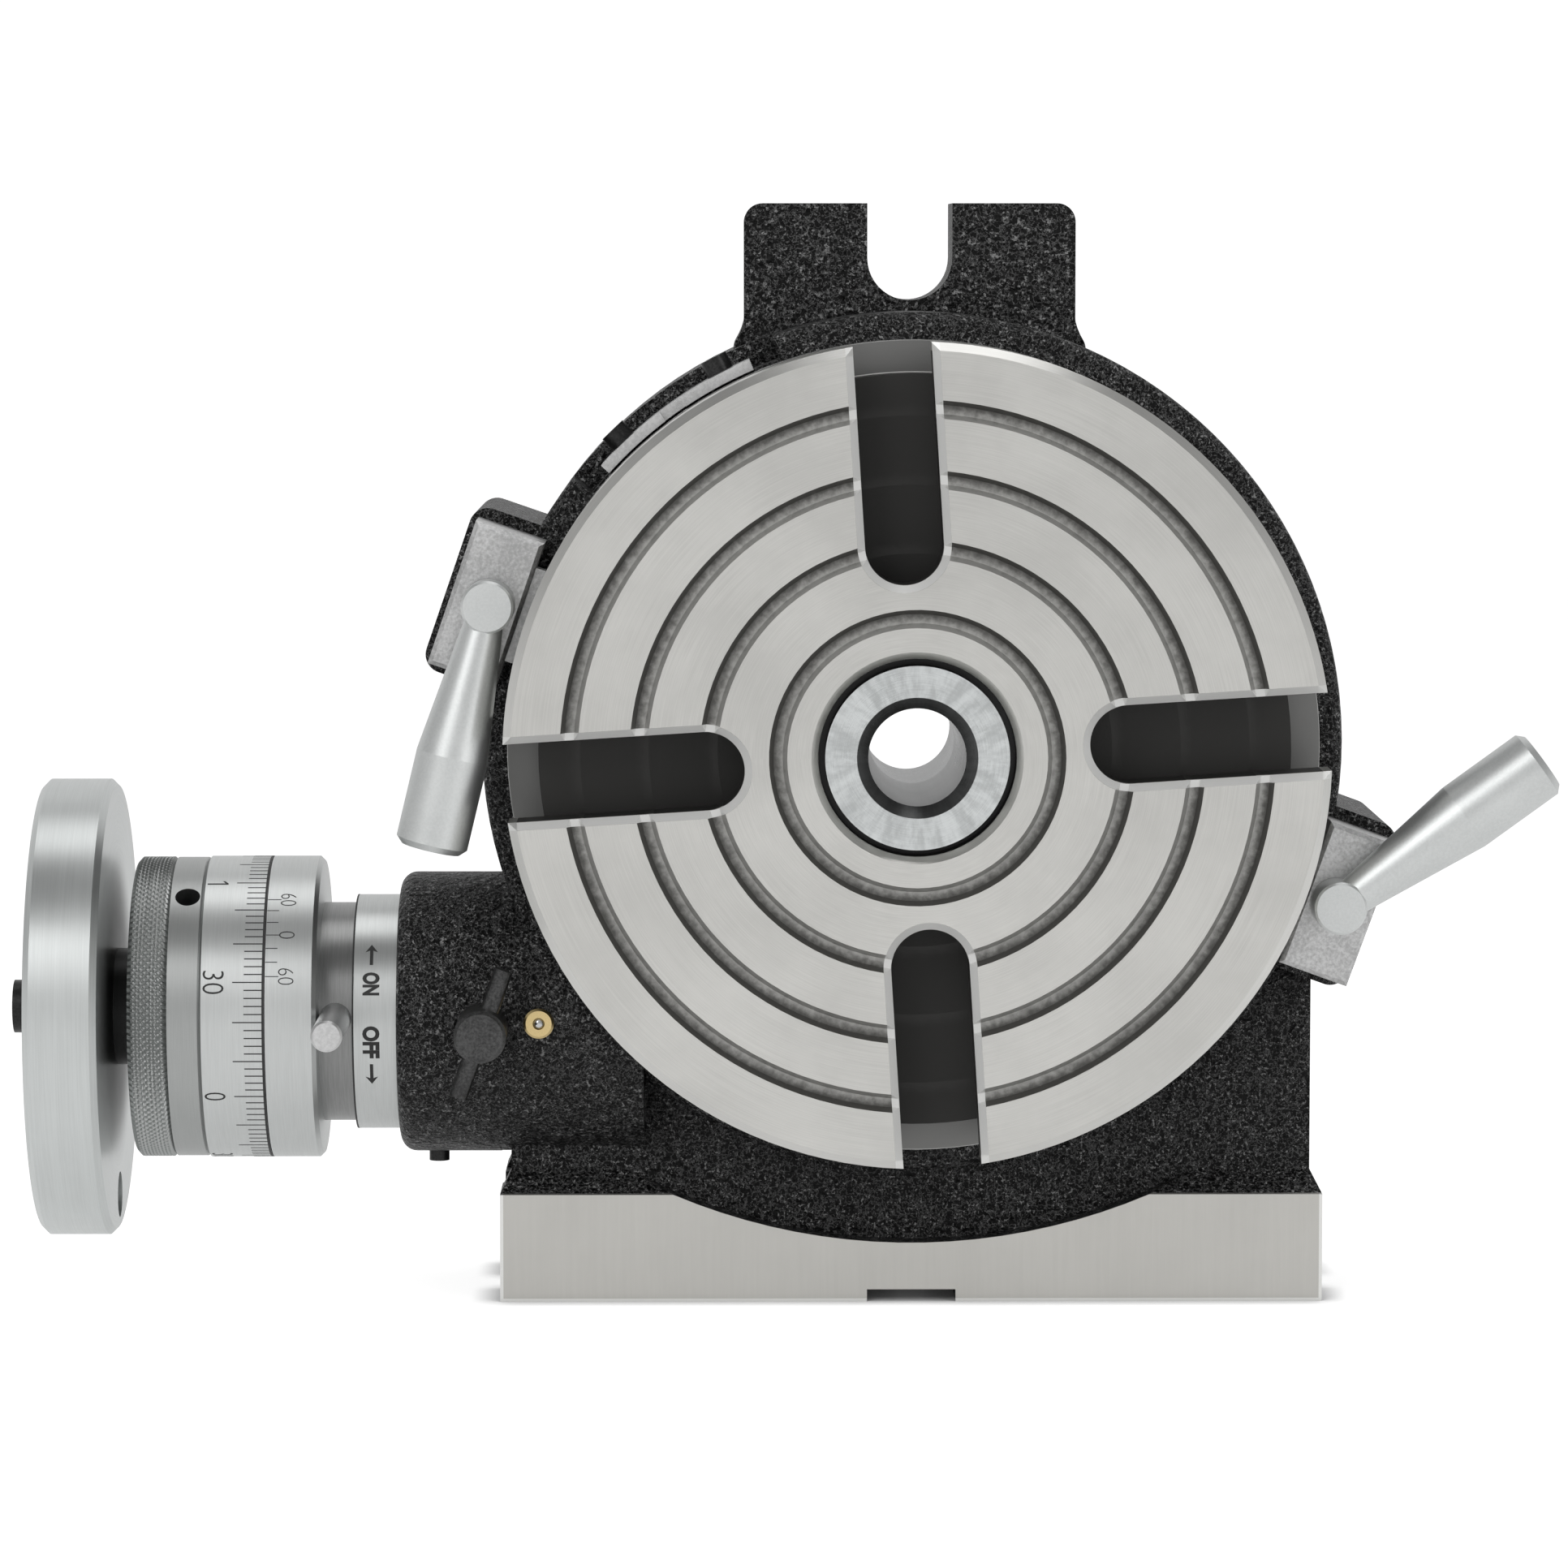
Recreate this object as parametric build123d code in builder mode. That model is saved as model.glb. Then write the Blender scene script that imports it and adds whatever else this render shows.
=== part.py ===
from build123d import *
import os
from math import atan, cos, degrees, pi, radians, sin, sqrt, tan

os.makedirs("parts", exist_ok=True)

# Rotary table of 150 mm, standing on its vertical foot, in millimetres.
# +X is to the right, +Z up, and the table's face looks along -Y.
# The origin is under the table's axis, on the foot's plane, in the plane of the worm.
# Heights called "front" are counted from the worm's plane towards the face.

# Overall places
axis_height = 105.0
face_front = 50.0
back_depth = 30.0
running_gap = 0.05
seat_gap = 0.02
cut_margin = 1.0

# Worm gear
wheel_teeth = 90
gear_module = 1.0
worm_pitch_radius = 6.0
tooth_addendum = 0.8
tooth_dedendum = 1.0
tooth_backlash = 0.15
pressure_angle = 20.0
wheel_width = 12.0
worm_turns_each_side = 5

# Eccentric sleeve that lifts the worm out of mesh
eccentricity = 1.3
eccentric_angle = 35.0
sleeve_radius = 15.0
sleeve_window = 31.0
sleeve_window_offset = 1.3
sleeve_right_end = 45.0
sleeve_flange_radius = 20.6
sleeve_flange_left = -110.4
sleeve_flange_right = -104.2
sleeve_spigot_radius = 20.0
sleeve_spigot_left = -119.4

# Table
table_radius = 75.0
table_turn = 3.6
rim_chamfer = 1.5
rim_thickness = 17.0
clamp_groove_radius = 69.0
clamp_groove_width = 8.8
ring_width = 7.0
slot_neck = 14.2
slot_chamfer = 1.4
slot_wide = 22.0
slot_wide_height = 7.0
slot_depth = 17.5
slot_inner = 31.3
slot_count = 4
groove_first = 25.2
groove_pitch = 12.6
groove_count = 4
groove_width = 3.3
groove_depth = 1.3

# Spindle, centre sleeve and nut
spindle_radius = 26.0
spindle_bore = 17.95
spindle_thread_radius = 23.0
spindle_boss_radius = 36.0
bore_chamfer = 1.25
centre_neck_radius = 16.7
centre_neck_length = 5.8
centre_face_drop = 0.2
taper_mouth_radius = 8.89
taper_mouth_chamfer = 2.1
taper_length = 38.0
taper_per_mm = 0.025
drawbar_radius = 8.4
washer_thickness = 1.5
washer_radius = 33.0
nut_thickness = 5.5
nut_radius = 31.0
nut_notch = 6.0
wheel_screw_circle = 31.0
wheel_screw_radius = 2.5
wheel_screw_head_radius = 4.3
wheel_screw_head = 5.0
wheel_screw_grip = 9.0
wheel_screw_count = 4

# Base casting
drum_radius = 80.0
drum_fillet = 2.0
cavity_radius = 62.0
cavity_clearance = 3.0
nut_pocket_radius = 34.0
nut_pocket_depth = 10.0
table_clearance_radius = 76.2
body_half_width = 75.0
body_top = 65.0
body_front = 10.0
foot_half_width = 77.0
foot_thickness = 20.2
foot_front = 15.5
foot_flare = 4.0
scallop_radius = 113.4
scallop_bottom = 11.1
keyway_width = 16.6
keyway_depth = 2.3
foot_slot_width = 14.0
foot_slot_length = 15.0
foot_pocket_width = 25.0
foot_pocket_height = 13.0
foot_pocket_depth = 15.0
lug_half_width = 31.2
lug_top = 100.1
lug_front = -5.6
lug_slot_width = 16.0
lug_slot_bottom = 81.9
lug_corner = 3.5
lug_root = 9.0
lug_root_curve = 11.7
boss_radius = 26.4
boss_left = -95.9
boss_right = -50.0
boss_fillet = 3.0

# Clamps
clamp_circle = 82.4
clamp_sides = (("left", 161.0, -103.5), ("right", -20.0, 36.0))
clamp_lug_outer = 91.0
clamp_lug_half = 16.0
clamp_block_inner = 76.4
clamp_block_outer = 89.6
clamp_block_length = 27.6
clamp_block_top = 33.0
clamp_block_edge = 0.8
clamp_toe_inner = 70.0
clamp_toe_width = 18.0
clamp_toe_height = 5.6
clamp_toe_lift = 0.4
clamp_screw_radius = 4.0
clamp_screw_end = 0.0
clamp_screw_bite = 5.0
hub_radius = 4.8
hub_bottom_gap = 0.3
hub_front = 42.5
handle_front = 38.6
handle_start = 2.5
handle_root_radius = 3.5
handle_taper_end = 28.0
handle_end_radius = 6.6
handle_length = 45.5
handle_round = 1.2

# Index plate on the drum
plate_first_angle = 113.0
plate_last_angle = 138.0
plate_gap = 0.45
plate_thickness = 2.0
plate_bottom = 4.0
plate_top = 23.6
plate_notch_width = 4.6
plate_notch_depth = 3.4
plate_screw_angles = (117.4, 133.8)
plate_screw_front = 10.5
plate_screw_radius = 1.5
plate_screw_head_radius = 2.6
plate_screw_head = 3.0
plate_screw_bite = 6.0
plate_recess_side = 4.0

# Pieces on the worm's axis, left of the boss
on_off_ring_radius = 22.1
vernier_left = -119.8
vernier_radius = 28.4
dial_right = -119.95
dial_step = -131.6
dial_left = -137.9
dial_radius = 28.4
dial_step_radius = 28.2
dial_groove = 0.7
dial_spigot_radius = 12.0
knurl_left = -145.3
knurl_radius = 28.3
knurl_chamfer = 0.8
shaft_radius = 7.0
shaft_tip_radius = 6.0
shaft_left = -160.0
shaft_right = 44.0
core_radius = 5.0
thread_bite = 0.2
collar_radius = 13.5
collar_left = -115.0
collar_right = -113.0
bearing_pocket_radius = 15.5
bearing_pocket_right = -111.0
thrust_washer_radius = 15.2
retainer_radius = 15.46
retainer_right = -117.0
retainer_bore = 8.0
set_screw_radius = 2.3
set_screw_angle = 53.0
set_screw_length = 9.0
wheel_left = -163.0
wheel_right = -149.5
wheel_radius = 43.0
wheel_edge = 1.2
wheel_hub_radius = 11.0
wheel_dish_inner = 14.0
wheel_dish_outer = 28.0
wheel_dish_depth = 4.5
wheel_dish_slope = 1.0
crank_hole_radius = 4.3
crank_hole_circle = 35.9
wheel_bolt_head_radius = 5.0
wheel_bolt_flange_radius = 8.0
wheel_bolt_head = 6.0
wheel_bolt_radius = 3.0
wheel_bolt_length = 14.0
wheel_bolt_socket = 2.5
key_width = 3.0
key_height = 2.4
key_length = 8.0

# Lever pin, lock screw, oil cup and set screw
lever_x = -107.3
lever_radius = 2.9
lever_seat = 16.5
lever_reach = 45.8
lock_x = -79.7
lock_stud_radius = 4.0
lock_head_radius = 4.85
lock_head_gap = 1.2
lock_head_length = 12.5
lock_bar_radius = 1.75
lock_bar_length = 25.0
lock_bar_lean = 20.0
lock_bar_inset = 6.0
oil_x = -69.3
oil_rise = 0.9
oil_flange_radius = 2.8
oil_flange = 0.8
oil_seat_clearance = 0.6
oil_stem_radius = 2.0
oil_stem = 7.0
oil_bore_radius = 1.45
oil_mouth_radius = 1.1
oil_lip = 0.5
oil_ball_radius = 1.3
oil_ball_gap = 0.03
boss_screw_x = -89.0
boss_screw_radius = 1.9
boss_screw_proud = 2.0
boss_screw_length = 12.0

# Places that follow from the sizes above
wheel_pitch_radius = gear_module * wheel_teeth / 2
worm_drop = wheel_pitch_radius + worm_pitch_radius
worm_height = axis_height - worm_drop
tooth_pitch = pi * gear_module
lead_angle = degrees(atan(gear_module / (2 * worm_pitch_radius)))
wheel_tip_radius = wheel_pitch_radius + tooth_addendum
worm_tip_radius = worm_pitch_radius + tooth_addendum
sleeve_y = eccentricity * sin(radians(eccentric_angle))
sleeve_height = worm_height - eccentricity * cos(radians(eccentric_angle))
rim_bottom = face_front - rim_thickness
ring_top = rim_bottom - clamp_groove_width
table_seat = ring_top - ring_width
land_front = table_seat - running_gap
wheel_front = wheel_width / 2
nut_seat = -(back_depth - nut_pocket_depth)
washer_bottom = nut_seat - running_gap - washer_thickness
spindle_end = washer_bottom - nut_thickness
boss_front_y = sleeve_y - boss_radius


def front_plane(front):
    # A plane seen as in the photo, at a distance in front of the worm's plane
    return Plane(origin=(0, -front, axis_height), x_dir=(1, 0, 0), z_dir=(0, -1, 0))


def turned_plane(front, angle):
    # The same, with its own x pointing away from the table's axis at an angle
    outward = (cos(radians(angle)), 0, sin(radians(angle)))
    return Plane(origin=(0, -front, axis_height), x_dir=outward, z_dir=(0, -1, 0))


def polar_point(radius, angle, front):
    # A point at a radius and angle about the table's axis
    x = radius * cos(radians(angle))
    z = axis_height + radius * sin(radians(angle))
    return (x, -front, z)


def shaft_plane(x, height, y):
    # A plane square to the worm's axis at x, looking along +X
    return Plane(origin=(x, y, height), x_dir=(0, 1, 0), z_dir=(1, 0, 0))


# Profiles of turned pieces: (radius, front) about the table's axis, (x, radius) about the worm's
radial_plane = Plane(origin=(0, 0, axis_height), x_dir=(1, 0, 0), z_dir=(0, 0, -1))
table_axis = Axis((0, 0, axis_height), (0, -1, 0))
worm_plane = Plane(origin=(0, 0, worm_height), x_dir=(1, 0, 0), z_dir=(0, -1, 0))
worm_axis = Axis((0, 0, worm_height), (1, 0, 0))
sleeve_plane = Plane(origin=(0, sleeve_y, sleeve_height), x_dir=(1, 0, 0), z_dir=(0, -1, 0))
sleeve_axis = Axis((0, sleeve_y, sleeve_height), (1, 0, 0))


# Base casting: drum, lower body, foot, lifting lug, worm boss and two clamp lugs
with BuildPart() as base_casting:
    with BuildSketch(front_plane(-back_depth)):
        Circle(drum_radius)
    extrude(amount=back_depth + land_front)
    fillet(base_casting.faces().sort_by(Axis.Y)[0].edges(), drum_fillet)

    with BuildSketch(Plane.XY):
        with Locations((0, (back_depth - body_front) / 2)):
            Rectangle(2 * body_half_width, back_depth + body_front)
    extrude(amount=body_top)

    foot_middle = (back_depth - foot_front) / 2
    with BuildSketch(Plane.XY):
        with Locations((0, foot_middle)):
            Rectangle(2 * foot_half_width, back_depth + foot_front)
    extrude(amount=foot_thickness)
    with BuildSketch(Plane.XY.offset(foot_thickness)):
        with Locations((0, foot_middle)):
            Rectangle(2 * foot_half_width, back_depth + foot_front)
    with BuildSketch(Plane.XY.offset(foot_thickness + foot_flare)):
        with Locations((0, (back_depth - body_front) / 2)):
            Rectangle(2 * body_half_width, back_depth + body_front)
    loft()

    # The lug's root widens into the drum with a hollow curve at each side
    with BuildSketch(front_plane(-back_depth)) as lug_sketch:
        root_height = sqrt(drum_radius**2 - (lug_half_width + lug_root) ** 2)
        with BuildLine():
            Polyline((lug_half_width, root_height + lug_root), (lug_half_width, lug_top),
                     (-lug_half_width, lug_top), (-lug_half_width, root_height + lug_root))
            RadiusArc((-lug_half_width, root_height + lug_root),
                      (-lug_half_width - lug_root, root_height), lug_root_curve)
            Line((-lug_half_width - lug_root, root_height), (lug_half_width + lug_root, root_height))
            RadiusArc((lug_half_width + lug_root, root_height),
                      (lug_half_width, root_height + lug_root), lug_root_curve)
        make_face()
        fillet(lug_sketch.vertices().group_by(Axis.Z)[-1], lug_corner)
        slot_centre = lug_slot_bottom + lug_slot_width / 2
        with Locations((0, slot_centre)):
            Circle(lug_slot_width / 2, mode=Mode.SUBTRACT)
        with Locations((0, (slot_centre + lug_top + cut_margin) / 2)):
            Rectangle(lug_slot_width, lug_top + cut_margin - slot_centre, mode=Mode.SUBTRACT)
    extrude(amount=back_depth + lug_front)

    for side, hub_angle, lever_angle in clamp_sides:
        with BuildSketch(turned_plane(-back_depth, hub_angle)):
            with Locations(((cavity_radius + clamp_lug_outer) / 2, 0)):
                RectangleRounded(clamp_lug_outer - cavity_radius, 2 * clamp_lug_half, lug_corner)
        extrude(amount=back_depth + land_front)

    with BuildSketch(sleeve_plane) as boss_sketch:
        with BuildLine():
            Polyline((boss_left, 0), (boss_left, boss_radius), (boss_right, boss_radius), (boss_right, 0),
                     close=True)
        make_face()
        fillet(boss_sketch.vertices().group_by(Axis.X)[0].sort_by(Axis.Y)[-1], boss_fillet)
    revolve(axis=sleeve_axis)

    # Room for the table, the wheel, the spindle and its nut
    with BuildSketch(front_plane(land_front)):
        Circle(table_clearance_radius)
    extrude(amount=face_front, mode=Mode.SUBTRACT)
    cavity_floor = -(wheel_front + cavity_clearance)
    with BuildSketch(front_plane(land_front)):
        Circle(cavity_radius)
    extrude(amount=cavity_floor - land_front, mode=Mode.SUBTRACT)
    with BuildSketch(front_plane(-back_depth)):
        Circle(spindle_radius + running_gap)
    extrude(amount=back_depth, mode=Mode.SUBTRACT)
    with BuildSketch(front_plane(-back_depth)):
        Circle(nut_pocket_radius)
    extrude(amount=nut_pocket_depth, mode=Mode.SUBTRACT)

    # Bore of the eccentric sleeve, blind at its right end
    with BuildSketch(shaft_plane(boss_left, sleeve_height, sleeve_y)):
        Circle(sleeve_radius + running_gap)
    extrude(amount=sleeve_right_end + cut_margin - boss_left, mode=Mode.SUBTRACT)

    # Scallop in the foot's front, keyway under it and a bolt slot at each end
    scallop_height = scallop_bottom + scallop_radius - axis_height
    with BuildSketch(front_plane(body_front)):
        with Locations((0, scallop_height)):
            Circle(scallop_radius)
        with Locations((0, (foot_thickness + foot_flare) / 2 - axis_height)):
            Rectangle(2 * foot_half_width, foot_thickness + foot_flare, mode=Mode.INTERSECT)
    extrude(amount=face_front, mode=Mode.SUBTRACT)
    with BuildSketch(Plane.XY):
        with Locations((0, foot_middle)):
            Rectangle(keyway_width, back_depth + foot_front)
    extrude(amount=keyway_depth, mode=Mode.SUBTRACT)
    for end in (-1, 1):
        slot_x = end * (foot_half_width - foot_slot_length / 2)
        slot_round_x = end * (foot_half_width - foot_slot_length)
        with BuildSketch(Plane.XY):
            with Locations((slot_x, foot_middle)):
                Rectangle(foot_slot_length, foot_slot_width)
            with Locations((slot_round_x, foot_middle)):
                Circle(foot_slot_width / 2)
        extrude(amount=foot_thickness + foot_flare, mode=Mode.SUBTRACT)
        pocket_x = end * (foot_half_width - foot_pocket_depth / 2)
        with BuildSketch(Plane.XY.offset(foot_thickness)):
            with Locations((pocket_x, foot_middle)):
                Rectangle(foot_pocket_depth, foot_pocket_width)
            with Locations((end * (foot_half_width - foot_pocket_depth), foot_middle)):
                Circle(foot_pocket_width / 2)
        extrude(amount=foot_pocket_height, mode=Mode.SUBTRACT)

    # Seat of the index plate, cut back from the drum's front
    plate_inner = table_radius + plate_gap
    plate_middle = (plate_first_angle + plate_last_angle) / 2
    plate_reach = (plate_last_angle - plate_first_angle) / 2 + plate_recess_side
    with BuildSketch(turned_plane(plate_bottom - plate_thickness, plate_middle)):
        with BuildLine():
            CenterArc((0, 0), plate_inner, -plate_reach, 2 * plate_reach)
            CenterArc((0, 0), drum_radius + plate_thickness, -plate_reach, 2 * plate_reach)
            for end in (-1, 1):
                corner = (cos(radians(end * plate_reach)), sin(radians(end * plate_reach)))
                Line((corner[0] * plate_inner, corner[1] * plate_inner),
                     (corner[0] * (drum_radius + plate_thickness),
                      corner[1] * (drum_radius + plate_thickness)))
        make_face()
    extrude(amount=face_front, mode=Mode.SUBTRACT)
    for angle in plate_screw_angles:
        outward = (cos(radians(angle)), 0, sin(radians(angle)))
        seat = polar_point(plate_inner, angle, plate_screw_front)
        with BuildSketch(Plane(origin=seat, x_dir=(0, 1, 0), z_dir=outward)):
            Circle(plate_screw_radius + seat_gap)
        extrude(amount=-plate_screw_bite, mode=Mode.SUBTRACT)

    # Holes for the clamp screws, lock screw, oil cup and boss screw
    for side, hub_angle, lever_angle in clamp_sides:
        with BuildSketch(turned_plane(land_front, hub_angle)):
            with Locations((clamp_circle, 0)):
                Circle(clamp_screw_radius + running_gap)
        extrude(amount=clamp_screw_end - cut_margin - land_front, mode=Mode.SUBTRACT)
    lock_plane = Plane(origin=(lock_x, boss_front_y - cut_margin, sleeve_height), x_dir=(1, 0, 0), z_dir=(0, -1, 0))
    with BuildSketch(lock_plane):
        Circle(lock_stud_radius + running_gap)
    extrude(amount=-(boss_radius - sleeve_radius + 2 * cut_margin), mode=Mode.SUBTRACT)
    oil_plane = Plane(origin=(oil_x, boss_front_y, sleeve_height + oil_rise), x_dir=(1, 0, 0),
                      z_dir=(0, -1, 0))
    with BuildSketch(oil_plane):
        Circle(oil_flange_radius + oil_seat_clearance)
    extrude(amount=2 * cut_margin, mode=Mode.SUBTRACT)
    with BuildSketch(oil_plane):
        Circle(oil_stem_radius + seat_gap)
    extrude(amount=-oil_stem - cut_margin, mode=Mode.SUBTRACT)
    with BuildSketch(Plane(origin=(boss_screw_x, sleeve_y, sleeve_height - boss_radius),
                           x_dir=(1, 0, 0), z_dir=(0, 0, -1))):
        Circle(boss_screw_radius + seat_gap)
    extrude(amount=-(boss_radius - sleeve_radius), mode=Mode.SUBTRACT)
base_casting.part.label = "base_casting"
export_step(base_casting.part, "parts/base_casting.step")


# Table disc with its rim, T-slots, sighting grooves and spindle, in one casting
with BuildPart() as table_disc:
    with BuildSketch(radial_plane):
        with BuildLine():
            Polyline(
                (spindle_bore, spindle_end), (spindle_thread_radius, spindle_end),
                (spindle_thread_radius, nut_seat + running_gap), (spindle_radius, nut_seat + running_gap),
                (spindle_radius, wheel_front), (spindle_boss_radius, wheel_front),
                (spindle_boss_radius, table_seat), (clamp_groove_radius, table_seat),
                (clamp_groove_radius, rim_bottom), (table_radius, rim_bottom),
                (table_radius, face_front - rim_chamfer), (table_radius - rim_chamfer, face_front),
                (spindle_bore + bore_chamfer, face_front), (spindle_bore, face_front - bore_chamfer),
                close=True)
        make_face()
    revolve(axis=table_axis)

    with BuildSketch(radial_plane):
        for number in range(groove_count):
            radius = groove_first + number * groove_pitch
            with BuildLine():
                Polyline((radius - groove_width / 2, face_front), (radius - groove_width / 4,
                         face_front - groove_depth), (radius + groove_width / 4,
                         face_front - groove_depth), (radius + groove_width / 2, face_front), close=True)
            make_face()
    revolve(axis=table_axis, mode=Mode.SUBTRACT)

    slot_start = slot_inner + slot_neck / 2
    slot_reach = table_radius + slot_neck - slot_start
    slot_planes = [turned_plane(face_front, 90 + table_turn + number * 360 / slot_count)
                   for number in range(slot_count)]
    for plane in slot_planes:
        with BuildSketch(plane):
            with Locations((slot_start + slot_reach / 2, 0)):
                Rectangle(slot_reach, slot_neck)
            with Locations((slot_start, 0)):
                Circle(slot_neck / 2)
        extrude(amount=-slot_depth, mode=Mode.SUBTRACT)
        with BuildSketch(plane.offset(-slot_depth)):
            with Locations((slot_start + slot_reach / 2, 0)):
                Rectangle(slot_reach, slot_wide)
            with Locations((slot_start, 0)):
                Circle(slot_wide / 2)
        extrude(amount=slot_wide_height, mode=Mode.SUBTRACT)
        with BuildSketch(plane):
            with Locations((slot_start + slot_reach / 2, 0)):
                Rectangle(slot_reach, slot_neck + 2 * slot_chamfer)
            with Locations((slot_start, 0)):
                Circle(slot_neck / 2 + slot_chamfer)
        extrude(amount=-slot_chamfer, taper=45, mode=Mode.SUBTRACT)

    screw_depth = wheel_screw_grip + 1
    with BuildSketch(front_plane(wheel_front)):
        with PolarLocations(wheel_screw_circle, wheel_screw_count):
            Circle(wheel_screw_radius + seat_gap)
    extrude(amount=screw_depth, mode=Mode.SUBTRACT)
table_disc.part.label = "table_disc"
export_step(table_disc.part, "parts/table_disc.step")


# Graduated ring, pressed on the table under its rim
with BuildPart() as graduated_ring:
    with BuildSketch(front_plane(table_seat)):
        Circle(table_radius)
        Circle(clamp_groove_radius + seat_gap, mode=Mode.SUBTRACT)
    extrude(amount=ring_width)
graduated_ring.part.label = "graduated_ring"
export_step(graduated_ring.part, "parts/graduated_ring.step")


# Worm wheel: each tooth gap is a tapered slot, tilted by the worm's lead angle
with BuildPart() as worm_wheel:
    with BuildSketch(front_plane(-wheel_width / 2)):
        Circle(wheel_tip_radius)
        Circle(spindle_radius + seat_gap, mode=Mode.SUBTRACT)
        with PolarLocations(wheel_screw_circle, wheel_screw_count):
            Circle(wheel_screw_radius + seat_gap, mode=Mode.SUBTRACT)
    extrude(amount=wheel_width)
    with BuildSketch(front_plane(-wheel_width / 2)):
        with PolarLocations(wheel_screw_circle, wheel_screw_count):
            Circle(wheel_screw_head_radius + seat_gap)
    extrude(amount=wheel_screw_head, mode=Mode.SUBTRACT)

    gap_half = tooth_pitch * cos(radians(lead_angle)) / 4 + tooth_backlash / 2
    gap_slope = tan(radians(pressure_angle))
    gap_planes = []
    for number in range(wheel_teeth):
        turn = radians(number * 360 / wheel_teeth)
        tilt = radians(lead_angle)
        outward = Vector(sin(turn), 0, -cos(turn))
        along = Vector(cos(turn), 0, sin(turn))
        tooth_line = along * -sin(tilt) + Vector(0, 1, 0) * cos(tilt)
        across = along * cos(tilt) + Vector(0, 1, 0) * sin(tilt)
        centre = Vector(0, 0, axis_height) + outward * wheel_pitch_radius
        gap_planes.append(Plane(origin=centre, x_dir=across, z_dir=tooth_line))
    with BuildSketch(*gap_planes):
        top = tooth_addendum + cut_margin
        with BuildLine():
            Polyline((-gap_half - top * gap_slope, top), (gap_half + top * gap_slope, top),
                     (gap_half - tooth_dedendum * gap_slope, -tooth_dedendum),
                     (-gap_half + tooth_dedendum * gap_slope, -tooth_dedendum), close=True)
        make_face()
    extrude(amount=wheel_width, both=True, mode=Mode.SUBTRACT)
worm_wheel.part.label = "worm_wheel"
export_step(worm_wheel.part, "parts/worm_wheel.step")


with BuildPart() as worm_wheel_screws:
    with BuildSketch(front_plane(-wheel_width / 2)):
        with PolarLocations(wheel_screw_circle, wheel_screw_count):
            Circle(wheel_screw_head_radius)
    extrude(amount=wheel_screw_head)
    with BuildSketch(front_plane(-wheel_width / 2 + wheel_screw_head)):
        with PolarLocations(wheel_screw_circle, wheel_screw_count):
            Circle(wheel_screw_radius)
    extrude(amount=wheel_width - wheel_screw_head + wheel_screw_grip)
    with BuildSketch(front_plane(-wheel_width / 2)):
        with PolarLocations(wheel_screw_circle, wheel_screw_count):
            RegularPolygon(wheel_screw_radius, 6)
    extrude(amount=wheel_screw_head / 2, mode=Mode.SUBTRACT)
worm_wheel_screws.part.label = "worm_wheel_screws"
export_step(worm_wheel_screws.part, "parts/worm_wheel_screws.step")


# Centre sleeve with the Morse taper, pressed in the spindle
with BuildPart() as centre_sleeve:
    sleeve_face = face_front - centre_face_drop
    taper_start = sleeve_face - taper_mouth_chamfer
    taper_end = taper_start - taper_length
    taper_end_radius = taper_mouth_radius - taper_length * taper_per_mm
    with BuildSketch(radial_plane):
        with BuildLine():
            Polyline(
                (drawbar_radius, spindle_end), (spindle_bore - seat_gap, spindle_end),
                (spindle_bore - seat_gap, sleeve_face - centre_neck_length),
                (centre_neck_radius, sleeve_face - centre_neck_length),
                (centre_neck_radius, sleeve_face),
                (taper_mouth_radius + taper_mouth_chamfer, sleeve_face),
                (taper_mouth_radius, taper_start), (taper_end_radius, taper_end),
                (drawbar_radius, taper_end), close=True)
        make_face()
    revolve(axis=table_axis)
centre_sleeve.part.label = "centre_sleeve"
export_step(centre_sleeve.part, "parts/centre_sleeve.step")


with BuildPart() as spindle_washer:
    with BuildSketch(front_plane(washer_bottom)):
        Circle(washer_radius)
        Circle(spindle_thread_radius + seat_gap, mode=Mode.SUBTRACT)
    extrude(amount=washer_thickness)
spindle_washer.part.label = "spindle_washer"
export_step(spindle_washer.part, "parts/spindle_washer.step")


with BuildPart() as spindle_nut:
    with BuildSketch(front_plane(spindle_end)):
        Circle(nut_radius)
        Circle(spindle_thread_radius + seat_gap, mode=Mode.SUBTRACT)
        with PolarLocations(nut_radius, 4):
            Rectangle(nut_notch / 2, nut_notch, mode=Mode.SUBTRACT)
    extrude(amount=nut_thickness)
spindle_nut.part.label = "spindle_nut"
export_step(spindle_nut.part, "parts/spindle_nut.step")


# Index plate: a curved strip beside the graduated ring, notched in its middle
with BuildPart() as index_plate:
    plate_half = (plate_last_angle - plate_first_angle) / 2
    plate_outer = plate_inner + plate_thickness
    with BuildSketch(turned_plane(plate_bottom, plate_middle)):
        with BuildLine():
            CenterArc((0, 0), plate_inner, -plate_half, 2 * plate_half)
            CenterArc((0, 0), plate_outer, -plate_half, 2 * plate_half)
            for end in (-1, 1):
                corner = (cos(radians(end * plate_half)), sin(radians(end * plate_half)))
                Line((corner[0] * plate_inner, corner[1] * plate_inner),
                     (corner[0] * plate_outer, corner[1] * plate_outer))
        make_face()
    extrude(amount=plate_top - plate_bottom)
    with BuildSketch(turned_plane(plate_top - plate_notch_depth, plate_middle)):
        with Locations((plate_inner, 0)):
            Rectangle(4 * plate_thickness, plate_notch_width)
    extrude(amount=plate_notch_depth, mode=Mode.SUBTRACT)
    for angle in plate_screw_angles:
        outward = (cos(radians(angle)), 0, sin(radians(angle)))
        seat = polar_point(plate_outer, angle, plate_screw_front)
        with BuildSketch(Plane(origin=seat, x_dir=(0, 1, 0), z_dir=outward)):
            Circle(plate_screw_radius + seat_gap)
        extrude(amount=-2 * plate_thickness, mode=Mode.SUBTRACT)
index_plate.part.label = "index_plate"
export_step(index_plate.part, "parts/index_plate.step")


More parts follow.
